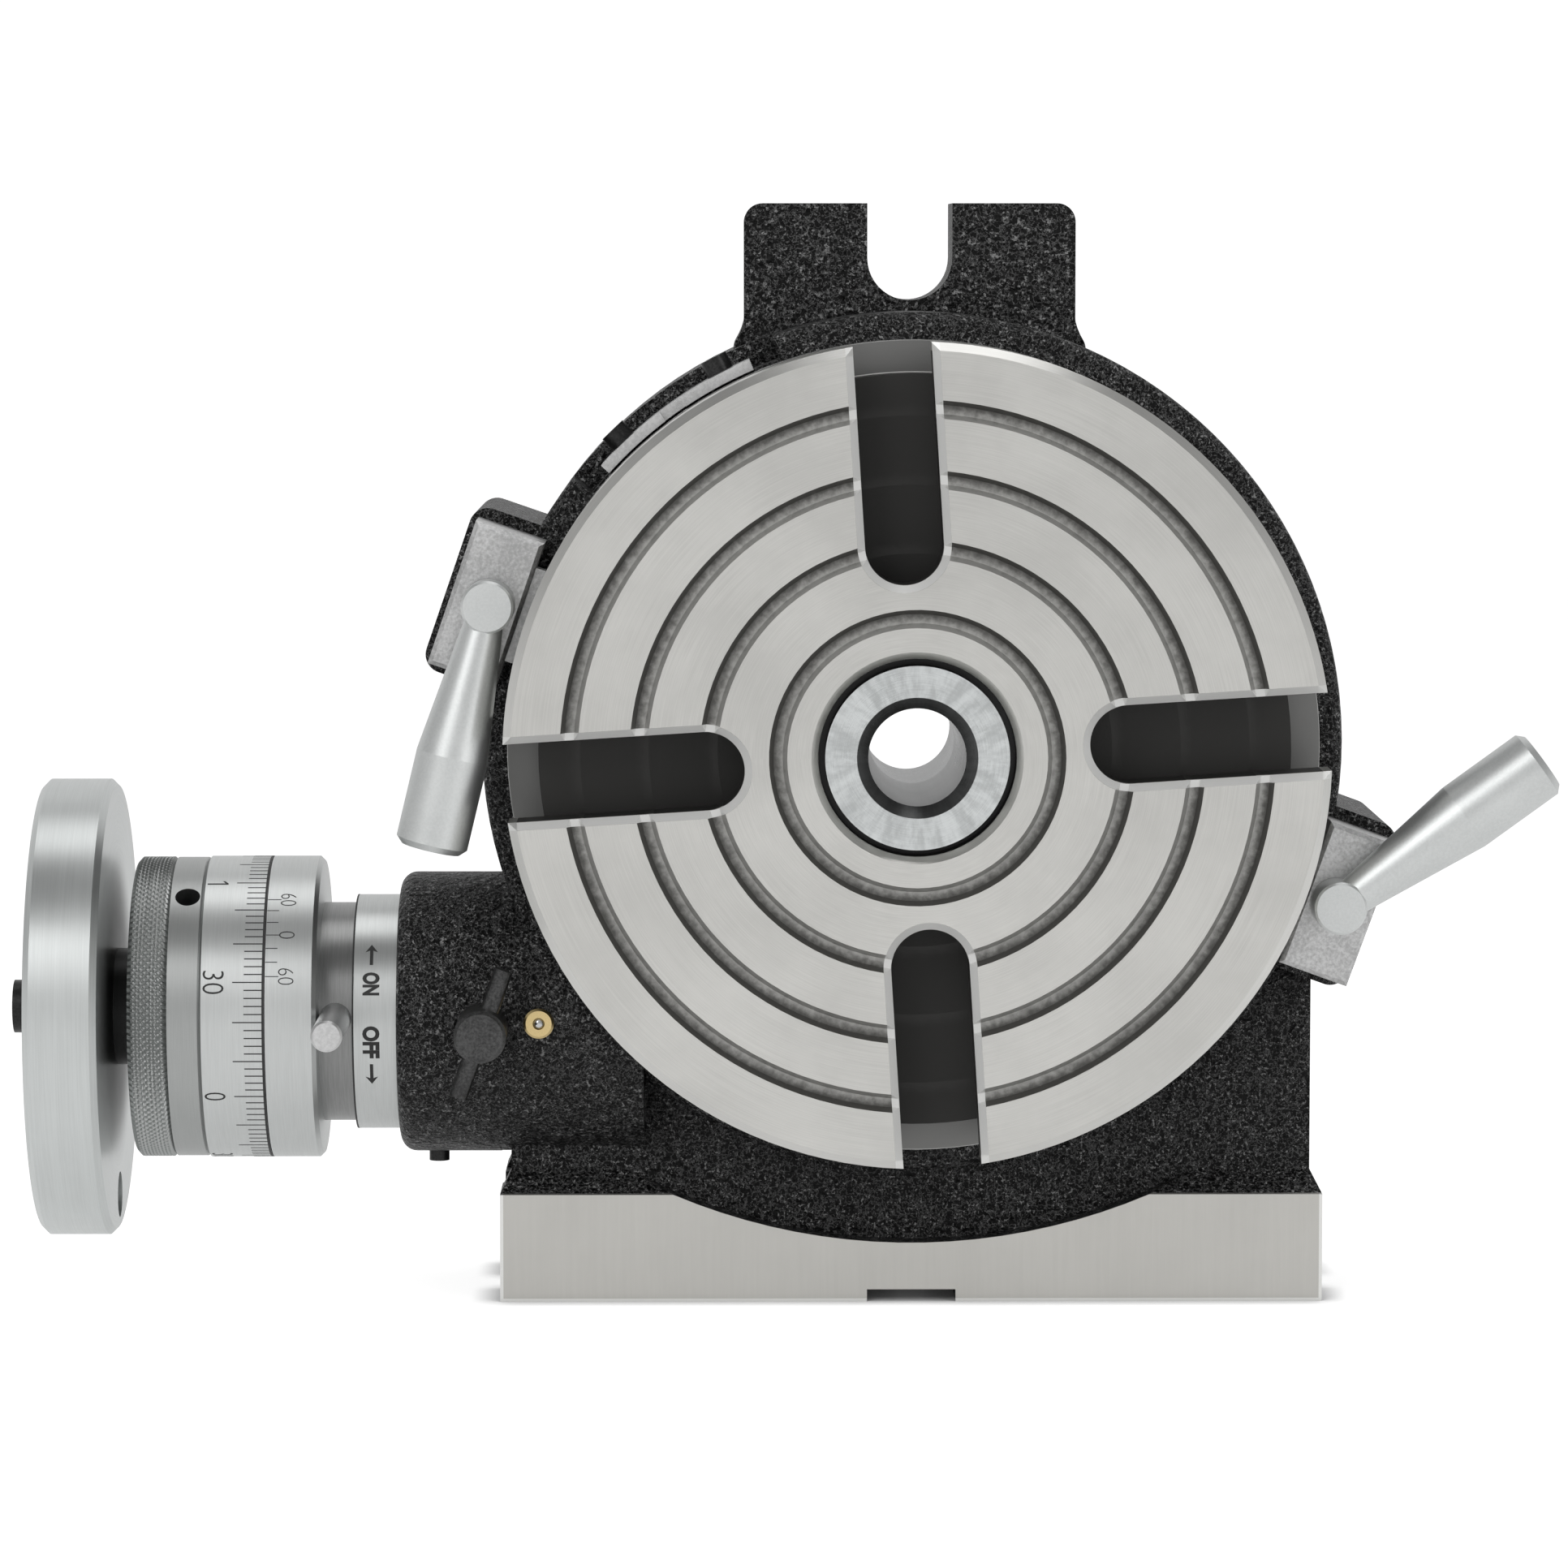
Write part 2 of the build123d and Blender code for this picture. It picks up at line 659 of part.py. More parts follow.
with BuildPart() as index_plate_screws:
    for angle in plate_screw_angles:
        outward = (cos(radians(angle)), 0, sin(radians(angle)))
        seat = polar_point(plate_outer + seat_gap, angle, plate_screw_front)
        screw_plane = Plane(origin=seat, x_dir=(0, 1, 0), z_dir=outward)
        with BuildSketch(screw_plane):
            Circle(plate_screw_head_radius)
        extrude(amount=plate_screw_head)
        with BuildSketch(screw_plane):
            Circle(plate_screw_radius)
        extrude(amount=-plate_screw_bite)
        with BuildSketch(screw_plane.offset(plate_screw_head)):
            RegularPolygon(plate_screw_radius, 6)
        extrude(amount=-plate_screw_head / 2, mode=Mode.SUBTRACT)
index_plate_screws.part.label = "index_plate_screws"
export_step(index_plate_screws.part, "parts/index_plate_screws.step")


# Ring with the ON and OFF marks, fixed on the boss's end
with BuildPart() as on_off_ring:
    with BuildSketch(shaft_plane(sleeve_flange_right + running_gap, sleeve_height, sleeve_y)):
        Circle(on_off_ring_radius)
        Circle(sleeve_radius + running_gap, mode=Mode.SUBTRACT)
    extrude(amount=boss_left - sleeve_flange_right - running_gap)
on_off_ring.part.label = "on_off_ring"
export_step(on_off_ring.part, "parts/on_off_ring.step")


# Eccentric sleeve: turned outside about its own axis and bored on the worm's axis
with BuildPart() as eccentric_sleeve:
    with BuildSketch(sleeve_plane):
        with BuildLine():
            Polyline(
                (sleeve_spigot_left, 0), (sleeve_spigot_left, sleeve_spigot_radius),
                (sleeve_flange_left, sleeve_spigot_radius), (sleeve_flange_left, sleeve_flange_radius),
                (sleeve_flange_right, sleeve_flange_radius), (sleeve_flange_right, sleeve_radius),
                (sleeve_right_end, sleeve_radius), (sleeve_right_end, 0), close=True)
        make_face()
    revolve(axis=sleeve_axis)
    with BuildSketch(shaft_plane(sleeve_spigot_left, worm_height, 0)):
        Circle(shaft_radius + running_gap)
    extrude(amount=sleeve_window - sleeve_spigot_left, mode=Mode.SUBTRACT)
    with BuildSketch(shaft_plane(0, worm_height, 0)):
        Circle(core_radius + running_gap)
    extrude(amount=sleeve_right_end, mode=Mode.SUBTRACT)
    with BuildSketch(shaft_plane(sleeve_spigot_left, worm_height, 0)):
        Circle(bearing_pocket_radius)
    extrude(amount=bearing_pocket_right - sleeve_spigot_left, mode=Mode.SUBTRACT)
    # The window faces the wheel when engaged and still clears it when turned away
    window_step = sleeve_window_offset / sqrt(2)
    window_plane = Plane(origin=(0, sleeve_y - window_step, sleeve_height - window_step),
                         x_dir=(1, 0, 0), z_dir=(0, 1, 1))
    with BuildSketch(window_plane):
        Rectangle(2 * sleeve_window, 3 * sleeve_radius)
    extrude(amount=2 * sleeve_radius, mode=Mode.SUBTRACT)
    with BuildSketch(Plane(origin=(lever_x, 0, worm_height), x_dir=(1, 0, 0), z_dir=(0, -1, 0))
                     .offset(lever_seat)):
        Circle(lever_radius + seat_gap)
    extrude(amount=sleeve_radius, mode=Mode.SUBTRACT)
eccentric_sleeve.part.label = "eccentric_sleeve"
export_step(eccentric_sleeve.part, "parts/eccentric_sleeve.step")


with BuildPart() as engagement_lever:
    with BuildSketch(Plane(origin=(lever_x, 0, worm_height), x_dir=(1, 0, 0), z_dir=(0, -1, 0))
                     .offset(lever_seat)):
        Circle(lever_radius)
    extrude(amount=lever_reach - lever_seat)
    chamfer(engagement_lever.faces().sort_by(Axis.Y)[0].edges(), 0.4)
engagement_lever.part.label = "engagement_lever"
export_step(engagement_lever.part, "parts/engagement_lever.step")


with BuildPart() as vernier_ring:
    with BuildSketch(worm_plane):
        with BuildLine():
            Polyline((vernier_left, 0), (vernier_left, vernier_radius),
                     (sleeve_flange_left - knurl_chamfer, vernier_radius),
                     (sleeve_flange_left, vernier_radius - knurl_chamfer), (sleeve_flange_left, 0),
                     close=True)
        make_face()
    revolve(axis=worm_axis)
    with BuildSketch(shaft_plane(vernier_left, sleeve_height, sleeve_y)):
        Circle(sleeve_spigot_radius + seat_gap)
    extrude(amount=sleeve_flange_left - vernier_left, mode=Mode.SUBTRACT)
vernier_ring.part.label = "vernier_ring"
export_step(vernier_ring.part, "parts/vernier_ring.step")


# Thrust washers each side of the shaft's collar, held by a screwed ring
with BuildPart() as thrust_washers:
    for start, end in ((collar_right + running_gap, bearing_pocket_right),
                       (retainer_right, collar_left - running_gap)):
        with BuildSketch(shaft_plane(start, worm_height, 0)):
            Circle(thrust_washer_radius)
            Circle(shaft_radius + 2 * running_gap, mode=Mode.SUBTRACT)
        extrude(amount=end - start)
thrust_washers.part.label = "thrust_washers"
export_step(thrust_washers.part, "parts/thrust_washers.step")


with BuildPart() as bearing_retainer:
    with BuildSketch(shaft_plane(sleeve_spigot_left, worm_height, 0)):
        Circle(retainer_radius)
        Circle(retainer_bore, mode=Mode.SUBTRACT)
    extrude(amount=retainer_right - sleeve_spigot_left)
bearing_retainer.part.label = "bearing_retainer"
export_step(bearing_retainer.part, "parts/bearing_retainer.step")


# Worm shaft with its collar and a true helical thread
with BuildPart() as worm_shaft:
    worm_half = worm_turns_each_side * tooth_pitch
    with BuildSketch(worm_plane):
        with BuildLine():
            Polyline(
                (shaft_left, 0), (shaft_left, shaft_tip_radius), (knurl_left, shaft_tip_radius),
                (knurl_left, shaft_radius), (collar_left, shaft_radius), (collar_left, collar_radius),
                (collar_right, collar_radius), (collar_right, shaft_radius),
                (-sleeve_window, shaft_radius), (-worm_half - tooth_pitch, core_radius),
                (shaft_right, core_radius), (shaft_right, 0), close=True)
        make_face()
    revolve(axis=worm_axis)
    with BuildLine() as thread_path:
        Helix(tooth_pitch, 2 * worm_half, worm_pitch_radius, center=(-worm_half, 0, worm_height),
              direction=(1, 0, 0))
    thread_half = tooth_pitch * cos(radians(lead_angle)) / 4 - tooth_backlash / 2
    thread_slope = tan(radians(pressure_angle))
    root = worm_pitch_radius - core_radius + thread_bite
    with BuildSketch(Plane(origin=thread_path.line @ 0, x_dir=(0, 0, 1), z_dir=thread_path.line % 0)):
        with BuildLine():
            Polyline((-root, -thread_half - root * thread_slope),
                     (-root, thread_half + root * thread_slope),
                     (tooth_addendum, thread_half - tooth_addendum * thread_slope),
                     (tooth_addendum, -thread_half + tooth_addendum * thread_slope), close=True)
        make_face()
    sweep(path=thread_path.line, is_frenet=True)
    with BuildSketch(shaft_plane(shaft_left, worm_height, 0)):
        Circle(wheel_bolt_radius + seat_gap)
    extrude(amount=wheel_bolt_length, mode=Mode.SUBTRACT)
    with BuildSketch(Plane(origin=(wheel_right, 0, worm_height + shaft_tip_radius), x_dir=(1, 0, 0),
                           z_dir=(0, 0, 1))):
        Rectangle(key_length + 2 * seat_gap, key_width + 2 * seat_gap)
    extrude(amount=-key_height / 2, mode=Mode.SUBTRACT)
worm_shaft.part.label = "worm_shaft"
export_step(worm_shaft.part, "parts/worm_shaft.step")


with BuildPart() as drive_key:
    with BuildSketch(Plane(origin=(wheel_right, 0, worm_height + shaft_tip_radius - key_height / 2
                                   + seat_gap), x_dir=(1, 0, 0), z_dir=(0, 0, 1))):
        Rectangle(key_length, key_width)
    extrude(amount=key_height - 2 * seat_gap)
drive_key.part.label = "drive_key"
export_step(drive_key.part, "parts/drive_key.step")


# Dial: a plain band with its set screw, a shallow groove and the graduated band
with BuildPart() as dial:
    with BuildSketch(worm_plane):
        with BuildLine():
            Polyline(
                (knurl_left + seat_gap, shaft_radius + seat_gap), (knurl_left + seat_gap, dial_spigot_radius),
                (dial_left, dial_spigot_radius), (dial_left, dial_step_radius),
                (dial_step - dial_groove, dial_step_radius),
                (dial_step - dial_groove / 2, dial_step_radius - dial_groove / 2),
                (dial_step, dial_radius), (dial_right, dial_radius), (dial_right, shaft_radius + seat_gap),
                close=True)
        make_face()
    revolve(axis=worm_axis)
    screw_out = (0, -cos(radians(set_screw_angle)), sin(radians(set_screw_angle)))
    screw_middle = Vector((dial_left + dial_step) / 2, 0, worm_height)
    with BuildSketch(Plane(origin=screw_middle + Vector(*screw_out) * dial_radius, x_dir=(1, 0, 0),
                           z_dir=screw_out)):
        Circle(set_screw_radius + seat_gap)
    extrude(amount=-(dial_radius - shaft_radius) - cut_margin, mode=Mode.SUBTRACT)
dial.part.label = "dial"
export_step(dial.part, "parts/dial.step")


with BuildPart() as dial_set_screw:
    screw_tip = screw_middle + Vector(*screw_out) * (shaft_radius + seat_gap)
    screw_tip_plane = Plane(origin=screw_tip, x_dir=(1, 0, 0), z_dir=screw_out)
    with BuildSketch(screw_tip_plane):
        Circle(set_screw_radius)
    extrude(amount=set_screw_length + dial_radius / 4)
    with BuildSketch(screw_tip_plane.offset(set_screw_length + dial_radius / 4)):
        RegularPolygon(set_screw_radius * 0.6, 6)
    extrude(amount=-set_screw_radius, mode=Mode.SUBTRACT)
dial_set_screw.part.label = "dial_set_screw"
export_step(dial_set_screw.part, "parts/dial_set_screw.step")


with BuildPart() as knurled_ring:
    with BuildSketch(worm_plane):
        with BuildLine():
            Polyline(
                (knurl_left, dial_spigot_radius + seat_gap), (knurl_left, knurl_radius - knurl_chamfer),
                (knurl_left + knurl_chamfer, knurl_radius), (dial_left - knurl_chamfer, knurl_radius),
                (dial_left, knurl_radius - knurl_chamfer), (dial_left, dial_spigot_radius + seat_gap),
                close=True)
        make_face()
    revolve(axis=worm_axis)
knurled_ring.part.label = "knurled_ring"
export_step(knurled_ring.part, "parts/knurled_ring.step")


# Handwheel: a thick disc, dished on its outer side, with the hole for a crank handle
with BuildPart() as handwheel:
    with BuildSketch(worm_plane):
        with BuildLine():
            Polyline(
                (wheel_left, shaft_tip_radius + seat_gap), (wheel_left, wheel_dish_inner),
                (wheel_left + wheel_dish_depth, wheel_dish_inner + wheel_dish_slope),
                (wheel_left + wheel_dish_depth, wheel_dish_outer - wheel_dish_slope), (wheel_left, wheel_dish_outer),
                (wheel_left, wheel_radius - wheel_edge), (wheel_left + wheel_edge, wheel_radius),
                (wheel_right - wheel_edge, wheel_radius), (wheel_right, wheel_radius - wheel_edge),
                (wheel_right, wheel_hub_radius), (knurl_left - 2 * running_gap, wheel_hub_radius),
                (knurl_left - 2 * running_gap, shaft_tip_radius + seat_gap), close=True)
        make_face()
    revolve(axis=worm_axis)
    with BuildSketch(shaft_plane(wheel_left, worm_height - crank_hole_circle, 0)):
        Circle(crank_hole_radius)
    extrude(amount=wheel_right - wheel_left, mode=Mode.SUBTRACT)
    with BuildSketch(Plane(origin=(wheel_right, 0, worm_height), x_dir=(1, 0, 0), z_dir=(0, 0, 1))):
        Rectangle(key_length + 2 * seat_gap, key_width + 2 * seat_gap)
    extrude(amount=shaft_tip_radius + key_height / 2 + seat_gap, mode=Mode.SUBTRACT)
handwheel.part.label = "handwheel"
export_step(handwheel.part, "parts/handwheel.step")


# The screw that holds the handwheel on the shaft, with its washer face
with BuildPart() as handwheel_screw:
    head_right = wheel_left - seat_gap
    with BuildSketch(shaft_plane(head_right, worm_height, 0)):
        Circle(wheel_bolt_flange_radius)
    extrude(amount=-wheel_edge)
    with BuildSketch(shaft_plane(head_right - wheel_edge, worm_height, 0)):
        Circle(wheel_bolt_head_radius)
    extrude(amount=-(wheel_bolt_head - wheel_edge))
    with BuildSketch(shaft_plane(head_right, worm_height, 0)):
        Circle(wheel_bolt_radius)
    extrude(amount=wheel_bolt_length)
    with BuildSketch(shaft_plane(head_right - wheel_bolt_head, worm_height, 0)):
        RegularPolygon(wheel_bolt_socket, 6)
    extrude(amount=wheel_bolt_head / 2, mode=Mode.SUBTRACT)
handwheel_screw.part.label = "handwheel_screw"
export_step(handwheel_screw.part, "parts/handwheel_screw.step")


# Lock screw in the boss's front, with its tommy bar
head_base_y = boss_front_y - lock_head_gap
with BuildPart() as lock_screw:
    lock_head_plane = Plane(origin=(lock_x, head_base_y, sleeve_height), x_dir=(1, 0, 0), z_dir=(0, -1, 0))
    with BuildSketch(lock_head_plane):
        Circle(lock_head_radius)
    extrude(amount=lock_head_length)
    chamfer(lock_screw.faces().sort_by(Axis.Y)[0].edges(), 0.6)
    with BuildSketch(lock_head_plane):
        Circle(lock_stud_radius)
    extrude(amount=-(boss_radius - sleeve_radius + lock_head_gap - 0.3))
    lean = radians(lock_bar_lean)
    bar_line = (sin(lean), 0, cos(lean))
    bar_y = head_base_y - lock_head_length + lock_bar_inset
    bar_plane = Plane(origin=(lock_x, bar_y, sleeve_height), x_dir=(0, 1, 0), z_dir=bar_line)
    with BuildSketch(bar_plane):
        Circle(lock_bar_radius + seat_gap)
    extrude(amount=lock_head_radius + cut_margin, both=True, mode=Mode.SUBTRACT)
lock_screw.part.label = "lock_screw"
export_step(lock_screw.part, "parts/lock_screw.step")


with BuildPart() as lock_bar:
    with BuildSketch(bar_plane):
        Circle(lock_bar_radius)
    extrude(amount=lock_bar_length / 2, both=True)
lock_bar.part.label = "lock_bar"
export_step(lock_bar.part, "parts/lock_bar.step")


# Ball oil cup in the boss's front
oil_centre = (oil_x, boss_front_y, sleeve_height + oil_rise)
oil_radial = Plane(origin=oil_centre, x_dir=(1, 0, 0), z_dir=(0, 0, -1))
with BuildPart() as oil_cup:
    with BuildSketch(oil_radial):
        with BuildLine():
            Polyline(
                (0, -oil_stem), (oil_stem_radius, -oil_stem), (oil_stem_radius, 0),
                (oil_flange_radius, 0), (oil_flange_radius, oil_flange / 2),
                (oil_flange_radius - oil_flange / 2, oil_flange), (oil_mouth_radius, oil_flange),
                (oil_mouth_radius, oil_flange - oil_lip), (oil_bore_radius, oil_flange - oil_lip),
                (oil_bore_radius, -oil_stem + 1), (0, -oil_stem + 1), close=True)
        make_face()
    revolve(axis=Axis(oil_centre, (0, -1, 0)))
oil_cup.part.label = "oil_cup"
export_step(oil_cup.part, "parts/oil_cup.step")


with BuildPart() as oil_cup_ball:
    ball_drop = sqrt(oil_ball_radius**2 - oil_mouth_radius**2) + oil_ball_gap
    ball_y = boss_front_y - (oil_flange - oil_lip - ball_drop)
    with Locations((oil_x, ball_y, sleeve_height + oil_rise)):
        Sphere(oil_ball_radius)
oil_cup_ball.part.label = "oil_cup_ball"
export_step(oil_cup_ball.part, "parts/oil_cup_ball.step")


with BuildPart() as boss_set_screw:
    with BuildSketch(Plane(origin=(boss_screw_x, sleeve_y, sleeve_height - boss_radius
                                   - boss_screw_proud), x_dir=(1, 0, 0), z_dir=(0, 0, 1))):
        Circle(boss_screw_radius)
    extrude(amount=boss_screw_length)
boss_set_screw.part.label = "boss_set_screw"
export_step(boss_set_screw.part, "parts/boss_set_screw.step")


# Clamps: a block with a toe in the table's groove, a screw, and a tapered lever on it
for side, hub_angle, lever_angle in clamp_sides:
    block_middle = (clamp_block_inner + clamp_block_outer) / 2
    with BuildPart() as clamp_block:
        with BuildSketch(turned_plane(land_front, hub_angle)):
            with Locations((block_middle, 0)):
                Rectangle(clamp_block_outer - clamp_block_inner, clamp_block_length)
        extrude(amount=clamp_block_top - land_front)
        chamfer(clamp_block.faces().sort_by(Axis.Y)[0].edges(), clamp_block_edge)
        toe_outer = clamp_block_inner + clamp_screw_radius / 2
        with BuildSketch(turned_plane(ring_top + clamp_toe_lift, hub_angle)):
            with Locations(((clamp_toe_inner + toe_outer) / 2, 0)):
                Rectangle(toe_outer - clamp_toe_inner, clamp_toe_width)
        extrude(amount=clamp_toe_height)
        with BuildSketch(turned_plane(land_front, hub_angle)):
            with Locations((clamp_circle, 0)):
                Circle(clamp_screw_radius + running_gap)
        extrude(amount=clamp_block_top - land_front, mode=Mode.SUBTRACT)
    clamp_block.part.label = f"clamp_block_{side}"
    export_step(clamp_block.part, f"parts/clamp_block_{side}.step")

    hub_bottom = clamp_block_top + hub_bottom_gap
    with BuildPart() as clamp_screw:
        with BuildSketch(turned_plane(clamp_screw_end, hub_angle)):
            with Locations((clamp_circle, 0)):
                Circle(clamp_screw_radius)
        extrude(amount=hub_bottom + clamp_screw_bite - clamp_screw_end)
    clamp_screw.part.label = f"clamp_screw_{side}"
    export_step(clamp_screw.part, f"parts/clamp_screw_{side}.step")

    with BuildPart() as clamp_lever:
        with BuildSketch(turned_plane(hub_bottom, hub_angle)):
            with Locations((clamp_circle, 0)):
                Circle(hub_radius)
        extrude(amount=hub_front - hub_bottom)
        chamfer(clamp_lever.faces().sort_by(Axis.Y)[0].edges(), 0.4)
        handle_origin = polar_point(clamp_circle, hub_angle, handle_front)
        handle_line = (cos(radians(lever_angle)), 0, sin(radians(lever_angle)))
        handle_plane = Plane(origin=handle_origin, x_dir=handle_line, z_dir=(0, -1, 0))
        with BuildSketch(handle_plane):
            with BuildLine():
                Polyline(
                    (handle_start, 0), (handle_start, handle_root_radius),
                    (handle_taper_end, handle_end_radius),
                    (handle_length - handle_round, handle_end_radius),
                    (handle_length, handle_end_radius - handle_round), (handle_length, 0), close=True)
            make_face()
        revolve(axis=Axis(handle_origin, handle_line))
        with BuildSketch(turned_plane(hub_bottom, hub_angle)):
            with Locations((clamp_circle, 0)):
                Circle(clamp_screw_radius + seat_gap)
        extrude(amount=clamp_screw_bite + seat_gap, mode=Mode.SUBTRACT)
    clamp_lever.part.label = f"clamp_lever_{side}"
    export_step(clamp_lever.part, f"parts/clamp_lever_{side}.step")
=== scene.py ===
import math
import bpy
import numpy as np
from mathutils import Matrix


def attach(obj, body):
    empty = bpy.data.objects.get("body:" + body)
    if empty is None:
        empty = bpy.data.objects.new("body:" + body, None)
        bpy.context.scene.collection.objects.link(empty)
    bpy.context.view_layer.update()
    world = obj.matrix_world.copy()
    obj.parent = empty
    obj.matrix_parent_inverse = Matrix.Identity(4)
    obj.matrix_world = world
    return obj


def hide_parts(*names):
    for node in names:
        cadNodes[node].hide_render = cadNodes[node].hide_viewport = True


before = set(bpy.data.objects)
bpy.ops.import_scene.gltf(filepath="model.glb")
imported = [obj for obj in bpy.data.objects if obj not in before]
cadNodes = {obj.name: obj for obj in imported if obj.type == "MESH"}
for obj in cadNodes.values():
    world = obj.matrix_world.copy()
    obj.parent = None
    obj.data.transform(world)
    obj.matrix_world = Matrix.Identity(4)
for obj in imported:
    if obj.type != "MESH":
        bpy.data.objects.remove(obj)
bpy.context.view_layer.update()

mm = 0.001
print("frame loaded,", len(cadNodes), "nodes")

# Axes that the turned pieces share, in metres
tableAxis = {"centre": (0.0, 0.0, 0.105), "along": "y"}
wormAxis = {"centre": (0.0, 0.0, 0.054), "along": "x"}
sleeveAxis = {"centre": (0.0, 0.00074565, 0.0529351), "along": "x"}


# Meshes from arrays

def makePiece(name, points, faces, material, body, smooth=True):
    # points is n x 3 in metres, faces is m x 4 or m x 3 with outward winding
    mesh = bpy.data.meshes.new(name)
    corners = faces.shape[1]
    mesh.vertices.add(len(points))
    mesh.vertices.foreach_set("co", np.asarray(points, np.float32).ravel())
    mesh.loops.add(faces.size)
    mesh.loops.foreach_set("vertex_index", faces.astype(np.int32).ravel())
    mesh.polygons.add(len(faces))
    mesh.polygons.foreach_set("loop_start", np.arange(0, faces.size, corners, dtype=np.int32))
    mesh.update(calc_edges=True)
    mesh.validate()
    mesh.polygons.foreach_set("use_smooth", np.full(len(mesh.polygons), smooth))
    piece = bpy.data.objects.new(name, mesh)
    bpy.context.scene.collection.objects.link(piece)
    mesh.materials.append(material)
    if body:
        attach(piece, body)
    return piece


def gridFaces(rows, columns, closedRows):
    # Quads of a grid whose rows go round when closedRows is true
    r, c = np.meshgrid(np.arange(rows if closedRows else rows - 1), np.arange(columns - 1), indexing="ij")
    down = (r + 1) % rows
    a, b = r * columns + c, down * columns + c
    return np.stack([a, b, b + 1, a + 1], -1).reshape(-1, 4)


def aroundWorm(x, angle, radius, axis=wormAxis):
    # Angle 0 faces the viewer, 90 degrees is up: a cylinder about an axis along x
    centre = axis["centre"]
    return np.stack([x + 0 * angle, centre[1] - radius * np.cos(angle), centre[2] + radius * np.sin(angle)], -1)


def aroundTable(front, angle, radius):
    # The same about the table's axis, front counted towards the face
    return np.stack([radius * np.cos(angle), -front + 0 * angle,
                     tableAxis["centre"][2] + radius * np.sin(angle)], -1)


def tickBlocks(wrap, starts, ends, angles, halfWidth, radius, rise, sink):
    # One thin block a graduation: eight corners each, from just under the metal to just above
    low, high = np.array([0, 1, 1, 0, 0, 1, 1, 0]), np.array([0, 0, 1, 1, 0, 0, 1, 1])
    level = np.array([0, 0, 0, 0, 1, 1, 1, 1])
    along = starts[:, None] * (1 - low) + ends[:, None] * low
    angle = angles[:, None] + (2 * high - 1) * halfWidth / radius
    reach = radius - sink + (rise + sink) * level + 0 * angle
    points = wrap(along, angle, reach).reshape(-1, 3)
    block = np.array([[0, 3, 2, 1], [4, 5, 6, 7], [0, 1, 5, 4], [1, 2, 6, 5], [2, 3, 7, 6], [3, 0, 4, 7]])
    faces = (block[None] + 8 * np.arange(len(angles))[:, None, None]).reshape(-1, 4)
    return points, faces


def wordShape(words, width, height, weight):
    # Flat letters with thickness, scaled to the width and height that they have on the piece
    curve = bpy.data.curves.new("letters", "FONT")
    curve.body = words
    curve.size = 1.0
    curve.resolution_u = 4
    curve.offset = weight
    curve.extrude = 0.5
    holder = bpy.data.objects.new("letters", curve)
    bpy.context.scene.collection.objects.link(holder)
    mesh = bpy.data.meshes.new_from_object(holder)
    points = np.empty(len(mesh.vertices) * 3)
    mesh.vertices.foreach_get("co", points)
    points = points.reshape(-1, 3)
    mesh.calc_loop_triangles()
    triangles = np.empty(len(mesh.loop_triangles) * 3, np.int32)
    mesh.loop_triangles.foreach_get("vertices", triangles)
    bpy.data.objects.remove(holder)
    bpy.data.curves.remove(curve)
    bpy.data.meshes.remove(mesh)
    low, high = points.min(0), points.max(0)
    flat = (points[:, :2] - (low + high)[:2] / 2) / (high - low)[:2] * (width, height)
    return flat, points[:, 2] > 0, triangles.reshape(-1, 3)


def arrowShape(length, width, shaft):
    # An arrow pointing to -x, as a thin prism; its shaft is divided so that it bends with the metal
    steps = np.linspace(-0.2, 0.5, 9)
    upper = np.stack([steps, 0 * steps + shaft / 2 / width], -1)
    lower = upper[::-1] * (1, -1)
    outline = np.concatenate([[(-0.5, 0), (-0.12, 0.5)], upper, lower, [(-0.12, -0.5)]]) * (length, width)
    count = len(outline)
    flat = np.concatenate([outline, outline])
    top = np.arange(2 * count) >= count
    near, far = np.arange(2, 10), np.arange(count - 2, count - 10, -1)
    cap = np.concatenate([np.stack([near, far, far - 1], -1), np.stack([near, far - 1, near + 1], -1),
                          [[0, 2, 1], [0, count - 2, 2], [0, count - 1, count - 2]]])
    ring = np.arange(count)
    following = (ring + 1) % count
    sides = np.concatenate([np.stack([ring, following, following + count], -1),
                            np.stack([ring, following + count, ring + count], -1)])
    return flat, top, np.concatenate([cap[:, ::-1], cap + count, sides[:, ::-1]])


def figureOne(width, height, weight):
    # A stem with its flag, as two thin prisms; the same layout as wordShape gives
    stem = np.array([(0.5 - weight, -0.5), (0.5, -0.5), (0.5, 0.5), (0.5 - weight, 0.5)])
    flag = np.array([(-0.5, 0.22), (0.5 - weight, 0.36), (0.5 - weight, 0.5), (-0.5, 0.32)])
    block = np.array([[0, 3, 2, 1], [4, 5, 6, 7], [0, 1, 5, 4], [1, 2, 6, 5], [2, 3, 7, 6], [3, 0, 4, 7]])
    flat = np.concatenate([stem, stem, flag, flag]) * (width, height)
    top = np.tile(np.arange(8) >= 4, 2)
    quads = np.concatenate([block, block + 8])
    return flat, top, np.concatenate([quads[:, [0, 1, 2]], quads[:, [0, 2, 3]]])


def wrapShape(shape, wrap, along, angle, radius, rise, sink):
    # Puts a flat shape round a cylinder: its x goes round, its y goes along
    flat, top, triangles = shape
    level = np.where(top, radius + rise, radius - sink)
    points = wrap(along + flat[:, 1], angle - flat[:, 0] / radius, level)
    return points, triangles


def joinShapes(shapes):
    points, faces, offset = [], [], 0
    for shapePoints, shapeFaces in shapes:
        if shapeFaces.shape[1] == 4:
            shapeFaces = np.concatenate([shapeFaces[:, [0, 1, 2]], shapeFaces[:, [0, 2, 3]]])
        points.append(shapePoints)
        faces.append(shapeFaces + offset)
        offset += len(shapePoints)
    return np.concatenate(points), np.concatenate(faces)


# Shader nodes

